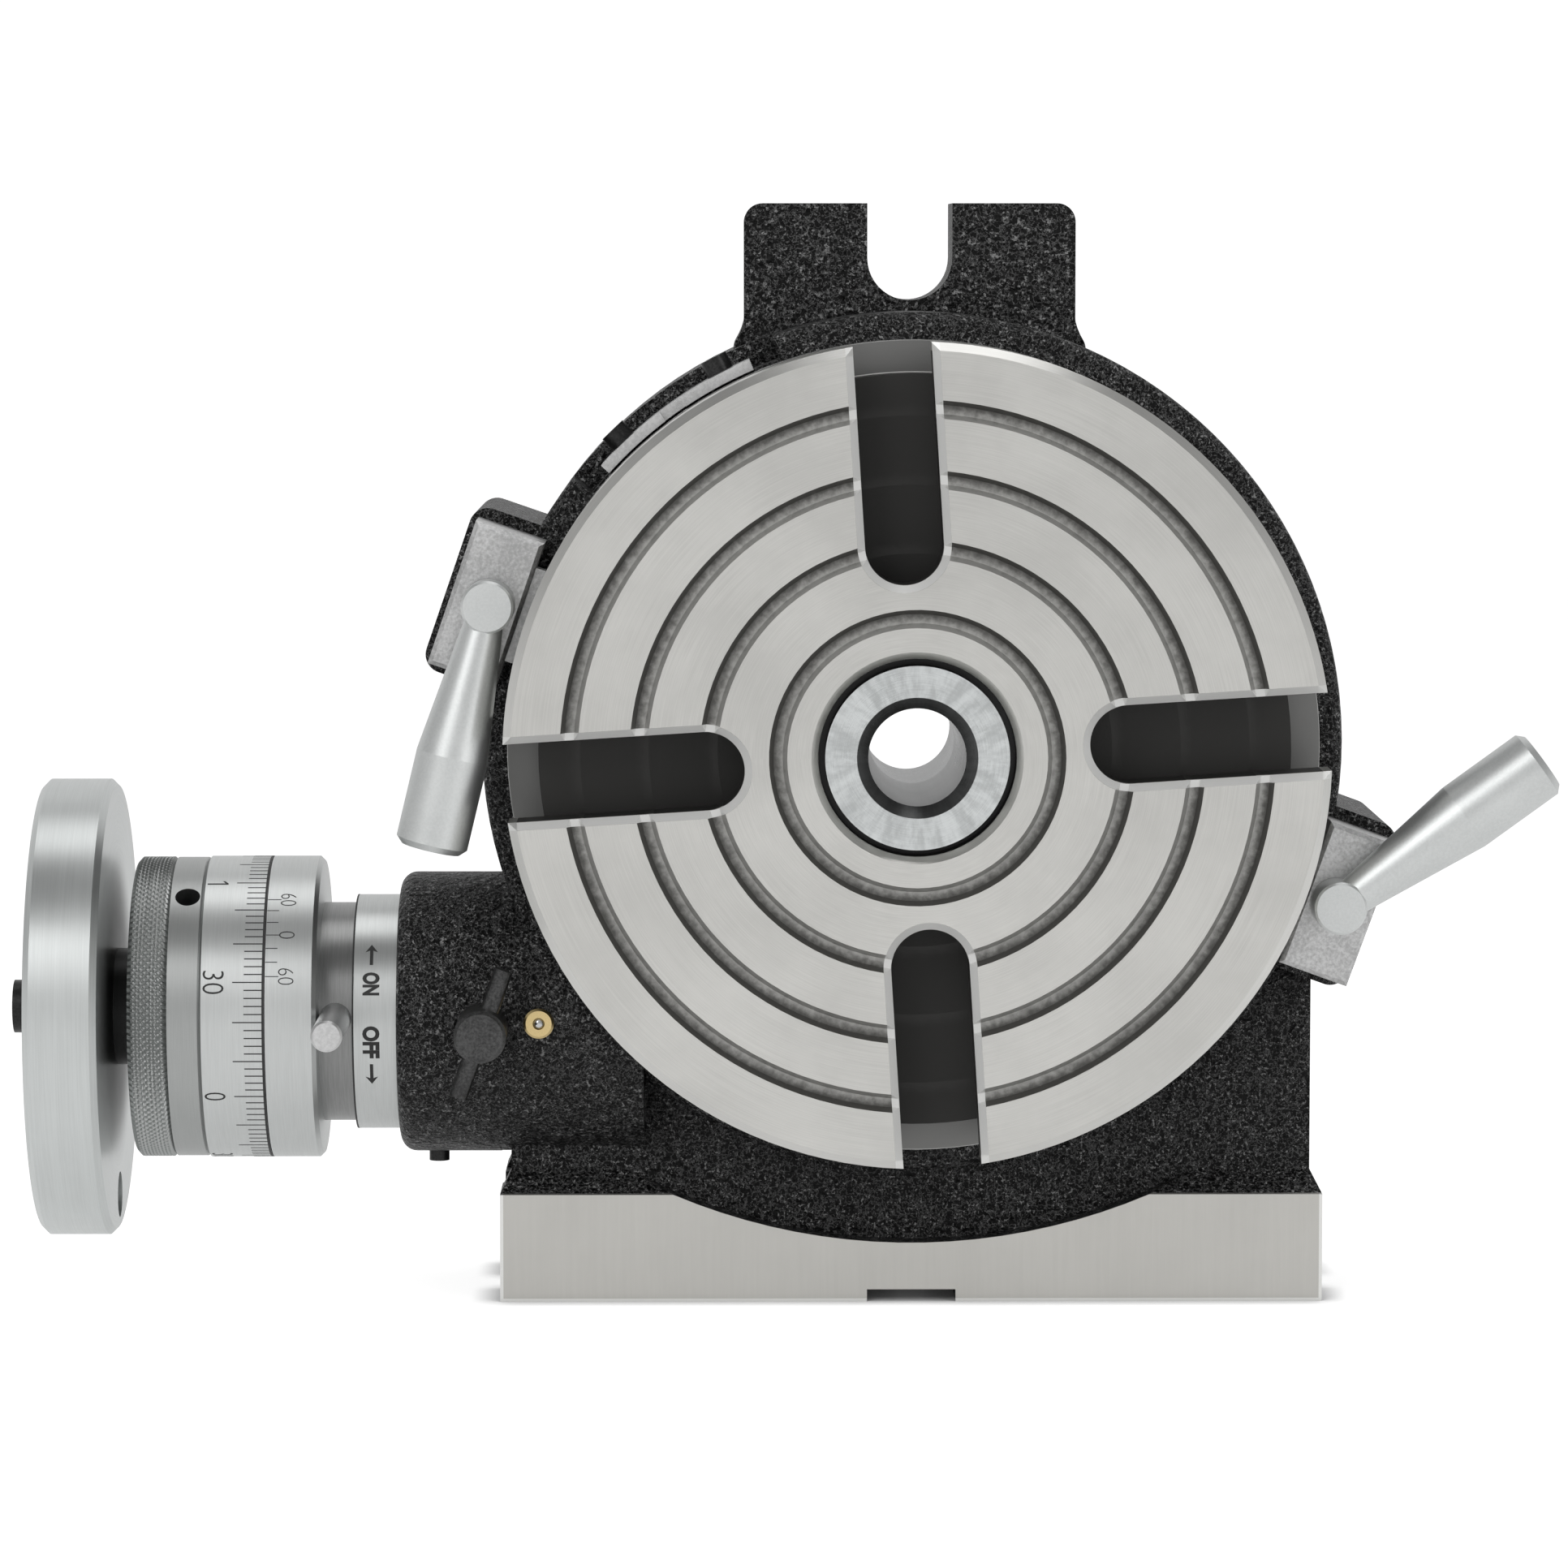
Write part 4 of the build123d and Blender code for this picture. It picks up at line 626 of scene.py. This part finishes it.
def grainMetal(name, dark, light, roughness, size, depth, metallic=1.0):
    # Cast or tumbled metal: an even grain in all directions
    material, tree, surface = startMaterial(name)
    coordinates = addNode(tree, "ShaderNodeTexCoord").outputs["Object"]
    fine = noise(tree, coordinates, 1.0 / size, 3.0, 0.65)
    broad = noise(tree, coordinates, 90.0, 3.0, 0.5)
    shade = calc(tree, "ADD", calc(tree, "MULTIPLY", fine, 0.6), calc(tree, "MULTIPLY", broad, 0.4))
    feed(tree, surface.inputs["Base Color"], blendColour(tree, ramp(tree, shade, 0.35, 0.65), dark, light))
    feed(tree, surface.inputs["Roughness"], blendValue(tree, broad, roughness * 0.85, roughness * 1.15))
    surface.inputs["Metallic"].default_value = metallic
    addBump(tree, surface, fine, 0.6, depth)
    return material


def inkMaterial():
    # Black filling of engraved lines, slightly uneven; also the painted shadow lines in the joints
    material, tree, surface = startMaterial("inkAndShadowBlack")
    coordinates = addNode(tree, "ShaderNodeTexCoord").outputs["Object"]
    uneven = noise(tree, coordinates, 2500.0, 2.0, 0.6)
    feed(tree, surface.inputs["Base Color"], blendColour(tree, uneven, grey(0.008), grey(0.04)))
    feed(tree, surface.inputs["Roughness"], blendValue(tree, uneven, 0.45, 0.7))
    return material


inkAndShadowBlack = inkMaterial()
steel = (0.60, 0.60, 0.59, 1.0)
castTones = (grey(0.42), grey(0.66))
satinTones = ((0.60, 0.615, 0.61, 1.0), (0.66, 0.675, 0.67, 1.0))
finishes = {
    "base_casting": castingMaterial(),
    "table_disc": tableMaterial(),
    "graduated_ring": ringMaterial(),
    "worm_wheel": turnedMetal("wheelBronze", tableAxis, (0.58, 0.38, 0.2, 1.0), 0.34),
    "worm_wheel_screws": grainMetal("wheelScrewBlack", grey(0.02), grey(0.05), 0.35, 0.0004, 0.00001, 0.6),
    "centre_sleeve": sleeveMaterial(),
    "spindle_washer": turnedMetal("washerSteel", tableAxis, steel, 0.25),
    "spindle_nut": grainMetal("nutBlack", grey(0.02), grey(0.06), 0.36, 0.0005, 0.00002, 0.7),
    "index_plate": grainMetal("plateSteel", grey(0.55), grey(0.72), 0.28, 0.0006, 0.00001),
    "index_plate_screws": grainMetal("plateScrewBlack", grey(0.015), grey(0.04), 0.3, 0.0004, 0.00001, 0.6),
    "on_off_ring": turnedMetal("switchRingMetal", sleeveAxis, (0.56, 0.575, 0.57, 1.0), 0.34, contrast=0.08),
    "oil_cup": turnedMetal("oilBrass", {"centre": (-0.0693, 0.0, 0.053835), "along": "y"},
                           (0.72, 0.56, 0.28, 1.0), 0.3, 9000.0),
    "oil_cup_ball": grainMetal("ballSteel", grey(0.5), grey(0.62), 0.15, 0.0008, 0.000002),
    "boss_set_screw": grainMetal("bossScrewBlack", grey(0.012), grey(0.035), 0.4, 0.0004, 0.00001, 0.5),
    "clamp_block_left": grainMetal("clampCastLeft", *castTones, 0.42, 0.0007, 0.00012, 0.9),
    "clamp_block_right": grainMetal("clampCastRight", *castTones, 0.42, 0.0007, 0.00012, 0.9),
    "clamp_screw_left": turnedMetal("clampScrewLeft", {"centre": (-0.0779, 0.0, 0.1318), "along": "y"}, steel, 0.3),
    "clamp_screw_right": turnedMetal("clampScrewRight", {"centre": (0.0774, 0.0, 0.0768), "along": "y"}, steel, 0.3),
    "clamp_lever_left": grainMetal("leverSatinLeft", *satinTones, 0.4, 0.0005, 0.00001, 0.95),
    "clamp_lever_right": grainMetal("leverSatinRight", *satinTones, 0.4, 0.0005, 0.00001, 0.95),
    "eccentric_sleeve": turnedMetal("sleeveGrey", sleeveAxis, (0.27, 0.272, 0.27, 1.0), 0.32, contrast=0.15),
    "engagement_lever": grainMetal("leverPin", grey(0.55), grey(0.68), 0.34, 0.0006, 0.00002),
    "vernier_ring": turnedMetal("vernierMetal", wormAxis, (0.58, 0.595, 0.59, 1.0), 0.36, contrast=0.06),
    "thrust_washers": turnedMetal("thrustSteel", wormAxis, steel, 0.2),
    "bearing_retainer": grainMetal("retainerBlack", grey(0.02), grey(0.05), 0.35, 0.0004, 0.00001, 0.7),
    "worm_shaft": turnedMetal("shaftSteel", wormAxis, (0.55, 0.55, 0.54, 1.0), 0.22),
    "drive_key": grainMetal("keySteel", grey(0.5), grey(0.62), 0.3, 0.0005, 0.00001),
    "dial": dialMaterial(),
    "dial_set_screw": grainMetal("dialScrewBlack", grey(0.012), grey(0.03), 0.4, 0.0004, 0.00001, 0.5),
    "knurled_ring": turnedMetal("knurlMetal", wormAxis, (0.42, 0.43, 0.425, 1.0), 0.3, contrast=0.08),
    "handwheel": handwheelMaterial(),
    "handwheel_screw": grainMetal("wheelScrewOxide", grey(0.012), grey(0.035), 0.4, 0.0004, 0.00001, 0.5),
    "lock_screw": grainMetal("lockOxide", grey(0.04), grey(0.1), 0.3, 0.0005, 0.00002, 0.8),
    "lock_bar": grainMetal("barOxide", grey(0.04), grey(0.1), 0.28, 0.0005, 0.00002, 0.8),
}
for nodeName, finish in finishes.items():
    mesh = cadNodes[nodeName].data
    mesh.materials.clear()
    mesh.materials.append(finish)
print("finishes on", len(finishes), "nodes, missing:", sorted(set(cadNodes) - set(finishes)))


# Knurled grip: a cylinder wall whose height is two crossed families of ridges
knurl = {
    "left": -145.3, "right": -137.9, "radius": 28.3, "inner": 12.02, "chamfer": 0.8, "ridges": 138,
    "depth": 0.42, "lean": 1.0, "aroundSteps": 1104, "alongSteps": 44,
}


def makeKnurledRing():
    # radius = outer - depth * (1 - ridge), ridge = product of two triangle waves across the lean
    around = np.linspace(0, 2 * np.pi, knurl["aroundSteps"], endpoint=False)
    along = np.linspace(knurl["left"] + knurl["chamfer"], knurl["right"] - knurl["chamfer"], knurl["alongSteps"])
    angle, x = np.meshgrid(around, along, indexing="ij")
    pitch = 2 * np.pi * knurl["radius"] / knurl["ridges"]
    turn = angle * knurl["ridges"] / (2 * np.pi)
    shift = (x - knurl["left"]) / pitch * knurl["lean"]
    wave = lambda value: 2 * np.abs((value % 1) - 0.5)
    ridge = np.minimum(wave(turn + shift), wave(turn - shift))
    radius = knurl["radius"] - knurl["depth"] * (1 - np.clip(ridge * 1.5, 0, 1))
    wall = np.stack([x, radius], -1)
    ends = [(knurl["left"], knurl["inner"]), (knurl["left"], knurl["radius"] - knurl["chamfer"] - 0.1),
            (knurl["right"], knurl["radius"] - knurl["chamfer"] - 0.1), (knurl["right"], knurl["inner"])]
    plain = np.array(ends)[None].repeat(len(around), 0)
    profile = np.concatenate([plain[:, :2], wall, plain[:, 2:], plain[:, :1]], 1) * mm
    turns = around[:, None] + 0 * profile[..., 0]
    points = aroundWorm(profile[..., 0], turns, profile[..., 1])
    piece = makePiece("knurled_grip", points.reshape(-1, 3), gridFaces(len(around), profile.shape[1], True)[:, ::-1],
                      finishes["knurled_ring"], "worm", smooth=False)
    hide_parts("knurled_ring")
    return piece


knurledGrip = makeKnurledRing()
print("knurled grip:", len(knurledGrip.data.polygons), "faces")


# Graduations of the dial: 120 lines of two minutes, numbers every half degree
dialMarks = {
    "radius": 28.4, "right": -119.97, "short": 3.7, "long": 5.8, "lineHalf": 0.11, "zeroAngle": -29.2,
    "step": 3.0, "numbers": ("0", "30", "1", "30", "2", "30", "3", "30"), "numberX": -129.3,
    "numberHeight": 3.9, "digitWidth": 1.8, "digitGap": 0.75, "rise": 0.02, "sink": 0.12, "lines": 120,
    "longEvery": 5, "oneWidth": 0.62, "oneWeight": 0.34, "weight": -0.012,
}


def makeDialMarks():
    count = np.arange(dialMarks["lines"])
    angles = np.radians(dialMarks["zeroAngle"] + dialMarks["step"] * count)
    lengths = np.where(count % dialMarks["longEvery"] == 0, dialMarks["long"], dialMarks["short"])
    right = dialMarks["right"] * np.ones(dialMarks["lines"])
    spacing = 360 / len(dialMarks["numbers"])
    radius, rise, sink = dialMarks["radius"] * mm, dialMarks["rise"] * mm, dialMarks["sink"] * mm
    shapes = [tickBlocks(aroundWorm, (right - lengths) * mm, right * mm, angles, dialMarks["lineHalf"] * mm,
                         radius, rise, sink)]
    for index, words in enumerate(dialMarks["numbers"]):
        width = len(words) * dialMarks["digitWidth"] + (len(words) - 1) * dialMarks["digitGap"]
        if words == "1":
            shape = figureOne(width * dialMarks["oneWidth"] * mm, dialMarks["numberHeight"] * mm,
                              dialMarks["oneWeight"])
        else:
            shape = wordShape(words, width * mm, dialMarks["numberHeight"] * mm, dialMarks["weight"])
        shapes.append(wrapShape(shape, aroundWorm, dialMarks["numberX"] * mm,
                                math.radians(dialMarks["zeroAngle"] + spacing * index), radius, rise, sink))
    points, faces = joinShapes(shapes)
    return makePiece("dial_graduations", points, faces, inkAndShadowBlack, "worm", smooth=False)


vernierMarks = {
    "radius": 28.4, "left": -119.75, "short": 2.2, "long": 2.5, "lineHalf": 0.08, "zeroAngle": 34.5, "step": 5.5,
    "numberX": -115.9, "numberHeight": 2.9, "digitWidth": 1.35, "rise": 0.02, "sink": 0.12,
}


def makeVernierMarks():
    angles = np.radians(vernierMarks["zeroAngle"] + vernierMarks["step"] * np.arange(-3, 4))
    lengths = np.where(np.arange(-3, 4) % 3 == 0, vernierMarks["long"], vernierMarks["short"])
    left = vernierMarks["left"] * np.ones(7)
    radius, rise, sink = vernierMarks["radius"] * mm, vernierMarks["rise"] * mm, vernierMarks["sink"] * mm
    shapes = [tickBlocks(aroundWorm, left * mm, (left + lengths) * mm, angles, vernierMarks["lineHalf"] * mm,
                         radius, rise, sink)]
    for words, place in (("60", -3), ("0", 0), ("60", 3)):
        width = len(words) * vernierMarks["digitWidth"] * 1.15
        shape = wordShape(words, width * mm, vernierMarks["numberHeight"] * mm, -0.02)
        shapes.append(wrapShape(shape, aroundWorm, vernierMarks["numberX"] * mm,
                                math.radians(vernierMarks["zeroAngle"] + place * vernierMarks["step"]),
                                radius, rise, sink))
    points, faces = joinShapes(shapes)
    return makePiece("vernier_graduations", points, faces, inkAndShadowBlack, "eccentric", smooth=False)


switchWords = {
    "radius": 22.1, "x": -100.6, "height": 3.2, "rise": 0.03, "sink": 0.12, "arrowLength": 4.3, "arrowWidth": 2.3,
    "arrowShaft": 0.62, "arrowUp": 35.3, "on": 20.2, "off": -8.4, "arrowDown": -25.2, "onWidth": 4.4, "offWidth": 6.2,
    "weight": 0.048,
}


def makeSwitchWords():
    radius, rise, sink = switchWords["radius"] * mm, switchWords["rise"] * mm, switchWords["sink"] * mm

    def wrap(x, angle, reach):
        return aroundWorm(x, angle, reach, sleeveAxis)

    shapes = []
    for words, width, angle in (("ON", "onWidth", "on"), ("OFF", "offWidth", "off")):
        shape = wordShape(words, switchWords[width] * mm, switchWords["height"] * mm, switchWords["weight"])
        shapes.append(wrapShape(shape, wrap, switchWords["x"] * mm, math.radians(switchWords[angle]),
                                radius, rise, sink))
    upper = arrowShape(switchWords["arrowLength"] * mm, switchWords["arrowWidth"] * mm,
                       switchWords["arrowShaft"] * mm)
    lower = (upper[0] * (-1, 1), upper[1], upper[2][:, ::-1])
    for shape, angle in ((upper, "arrowUp"), (lower, "arrowDown")):
        shapes.append(wrapShape(shape, wrap, switchWords["x"] * mm, math.radians(switchWords[angle]),
                                radius, rise, sink))
    points, faces = joinShapes(shapes)
    return makePiece("switch_words", points, faces, inkAndShadowBlack, "base", smooth=False)


# Degrees round the table: lines from the ring's upper edge, a number every ten
degreeMarks = {
    "radius": 75.0, "top": 24.15, "short": 2.0, "middle": 2.7, "long": 3.4, "lineHalf": 0.09, "zero": 93.6,
    "numberFront": 18.9, "numberHeight": 1.9, "digitWidth": 1.05, "digitGap": 0.3, "rise": 0.02, "sink": 0.12,
}


def makeDegreeMarks():
    count = np.arange(360)
    angles = np.radians(degreeMarks["zero"] - count)
    lengths = np.where(count % 10 == 0, degreeMarks["long"],
                       np.where(count % 5 == 0, degreeMarks["middle"], degreeMarks["short"]))
    top = degreeMarks["top"] * np.ones(360)
    radius, rise, sink = degreeMarks["radius"] * mm, degreeMarks["rise"] * mm, degreeMarks["sink"] * mm
    points, faces = tickBlocks(aroundTable, (top - lengths) * mm, top * mm, angles,
                               degreeMarks["lineHalf"] * mm, radius, rise, sink)
    shapes = [(points, faces[:, ::-1])]
    for number in range(0, 360, 10):
        words = str(number)
        width = len(words) * degreeMarks["digitWidth"] + (len(words) - 1) * degreeMarks["digitGap"]
        flat, upper, triangles = wordShape(words, width * mm, degreeMarks["numberHeight"] * mm, -0.01)
        level = np.where(upper, radius + rise, radius - sink)
        wrapped = aroundTable(degreeMarks["numberFront"] * mm + flat[:, 1],
                              math.radians(degreeMarks["zero"] - number) + flat[:, 0] / radius, level)
        shapes.append((wrapped, triangles))
    points, faces = joinShapes(shapes)
    return makePiece("degree_graduations", points, faces, inkAndShadowBlack, "table", smooth=False)


# Painted shadow lines: black bands put in the joints between turned pieces where shade falls, each a thin band lying
# in the metal's edge
gapShadows = (
    {"name": "dial_gap_shadow", "left": -120.36, "right": -119.96, "radius": 28.4, "axis": wormAxis, "body": "worm"},
    {"name": "switch_gap_shadow", "left": -104.16, "right": -103.84, "radius": 22.1, "axis": sleeveAxis, "body": "base"},
)


gapShadowShape = {"steps": 256, "sink": 0.15, "rise": 0.015}


def makeSeam(shadowBand):
    # A four-cornered section carried round the axis
    around = np.linspace(0, 2 * np.pi, gapShadowShape["steps"], endpoint=False)[:, None]
    left, right = shadowBand["left"] * mm, shadowBand["right"] * mm
    low, high = (shadowBand["radius"] - gapShadowShape["sink"]) * mm, (shadowBand["radius"] + gapShadowShape["rise"]) * mm
    x = np.array([left, left, right, right])[None] + 0 * around
    reach = np.array([low, high, high, low])[None] + 0 * around
    points = aroundWorm(x, around, reach, shadowBand["axis"]).reshape(-1, 3)
    rows = np.arange(gapShadowShape["steps"])[:, None]
    columns = np.arange(4)[None]
    following = (rows + 1) % gapShadowShape["steps"]
    nextColumn = (columns + 1) % 4
    faces = np.stack([rows * 4 + columns, rows * 4 + nextColumn, following * 4 + nextColumn,
                      following * 4 + columns], -1).reshape(-1, 4)
    return makePiece(shadowBand["name"], points, faces[:, ::-1], inkAndShadowBlack, shadowBand["body"], smooth=False)


for shadowBand in gapShadows:
    made = makeSeam(shadowBand)
    print(made.name, len(made.data.polygons), "faces")

for makeMarks in (makeDialMarks, makeVernierMarks, makeSwitchWords, makeDegreeMarks):
    made = makeMarks()
    print(made.name, len(made.data.polygons), "faces")


# Floor and backdrop in one sweep
stage = {
    "width": 12.0, "front": -4.0, "back": 2.2, "bend": 1.4, "height": 5.0, "albedo": 0.62, "glow": 0.52,
    "seenGlow": 0.8, "contactReach": 0.006, "contactPower": 1.8,
}


def makeStage():
    bend = np.linspace(0, np.pi / 2, 24)
    y = np.concatenate([[stage["front"]], stage["back"] + stage["bend"] * np.sin(bend),
                        [stage["back"] + stage["bend"]]])
    z = np.concatenate([[0.0], stage["bend"] * (1 - np.cos(bend)), [stage["height"]]])
    x = np.linspace(-stage["width"] / 2, stage["width"] / 2, 7)
    points = np.stack([x[:, None] + 0 * y[None], y[None] + 0 * x[:, None], z[None] + 0 * x[:, None]], -1)
    material = bpy.data.materials.new("paleBackdrop")
    material.use_nodes = True
    tree = material.node_tree
    tree.nodes.clear()
    output = addNode(tree, "ShaderNodeOutputMaterial")
    matte = addNode(tree, "ShaderNodeBsdfDiffuse")
    matte.inputs["Color"].default_value = grey(stage["albedo"])
    light = addNode(tree, "ShaderNodeEmission")
    path = addNode(tree, "ShaderNodeLightPath")
    mirrored = calc(tree, "MAXIMUM", path.outputs["Is Glossy Ray"], path.outputs["Is Transmission Ray"])
    glow = calc(tree, "ADD", calc(tree, "MULTIPLY", path.outputs["Is Camera Ray"], stage["seenGlow"]),
                calc(tree, "MULTIPLY", mirrored, stage["glow"]), clamp=True)
    # Painted contact shadow: the glow gives way where the object stands close, so the keyway under it stays dark
    contact = addNode(tree, "ShaderNodeAmbientOcclusion", samples=8)
    contact.inputs["Distance"].default_value = stage["contactReach"]
    openness = calc(tree, "POWER", contact.outputs["AO"], stage["contactPower"])
    feed(tree, light.inputs["Strength"], calc(tree, "MULTIPLY", glow, openness))
    both = addNode(tree, "ShaderNodeAddShader")
    tree.links.new(matte.outputs[0], both.inputs[0])
    tree.links.new(light.outputs[0], both.inputs[1])
    tree.links.new(both.outputs[0], output.inputs[0])
    piece = makePiece("pale_sweep", points.reshape(-1, 3), gridFaces(len(x), len(y), False), material, None)
    return piece


makeStage()

# Soft studio: a sky that is darker overhead, and wide lamps in front
sky = {"below": 0.55, "level": 0.75, "high": 0.42, "overhead": 0.22}


def makeSky():
    world = bpy.data.worlds.new("studioSky")
    bpy.context.scene.world = world
    world.use_nodes = True
    tree = world.node_tree
    tree.nodes.clear()
    output = addNode(tree, "ShaderNodeOutputWorld")
    background = addNode(tree, "ShaderNodeBackground")
    direction = addNode(tree, "ShaderNodeTexCoord").outputs["Generated"]
    split = addNode(tree, "ShaderNodeSeparateXYZ")
    tree.links.new(direction, split.inputs[0])
    upward = split.outputs[2]
    glow = ramp(tree, upward, -0.6, 0.0, sky["below"], sky["level"])
    high = ramp(tree, upward, 0.0, 0.5, 0.0, sky["level"] - sky["high"])
    top = ramp(tree, upward, 0.5, 1.0, 0.0, sky["high"] - sky["overhead"])
    glow = calc(tree, "SUBTRACT", calc(tree, "SUBTRACT", glow, high), top)
    path = addNode(tree, "ShaderNodeLightPath")
    strength = blendValue(tree, path.outputs["Is Camera Ray"], glow, 1.0)
    feed(tree, background.inputs["Strength"], strength)
    background.inputs["Color"].default_value = (1, 1, 1, 1)
    tree.links.new(background.outputs[0], output.inputs[0])


makeSky()

lamps = (
    {"name": "keyLamp", "place": (-0.9, -1.5, 1.1), "aim": (0, 0, 0.1), "size": (1.0, 1.0), "power": 9.0},
    {"name": "fillLamp", "place": (1.3, -1.3, 0.5), "aim": (0, 0, 0.1), "size": (0.8, 1.2), "power": 5.0},
    {"name": "topLamp", "place": (0.1, 0.2, 1.7), "aim": (0, 0, 0.1), "size": (1.2, 0.8), "power": 5.0},
)


def turnTowards(place, aim):
    # Rotation whose -z points from place to aim, worked out with plain angles
    dx, dy, dz = (aim[i] - place[i] for i in range(3))
    flat = math.hypot(dx, dy)
    return (math.pi / 2 + math.atan2(dz, flat), 0.0, math.atan2(-dx, dy))


for lamp in lamps:
    data = bpy.data.lights.new(lamp["name"], "AREA")
    data.shape = "RECTANGLE"
    data.size, data.size_y = lamp["size"]
    data.energy = lamp["power"]
    holder = bpy.data.objects.new(lamp["name"], data)
    bpy.context.scene.collection.objects.link(holder)
    holder.location = lamp["place"]
    holder.rotation_euler = turnTowards(lamp["place"], lamp["aim"])
print("studio ready")

# Camera, fitted to the photograph
camera = {"place": (-0.03348, -1.16265, 0.19778), "yaw": 0.0084, "pitch": -0.0873, "lens": 142.107, "sensor": 36.0}
cameraData = bpy.data.cameras.new("photoCamera")
cameraData.lens = camera["lens"]
cameraData.sensor_width = camera["sensor"]
cameraData.sensor_height = camera["sensor"]
cameraData.sensor_fit = "HORIZONTAL"
cameraData.clip_start = 0.05
photoCamera = bpy.data.objects.new("photoCamera", cameraData)
bpy.context.scene.collection.objects.link(photoCamera)
photoCamera.location = camera["place"]
photoCamera.rotation_euler = (math.pi / 2 + camera["pitch"], 0.0, -camera["yaw"])
bpy.context.scene.camera = photoCamera
bpy.context.scene.view_settings.view_transform = "Standard"
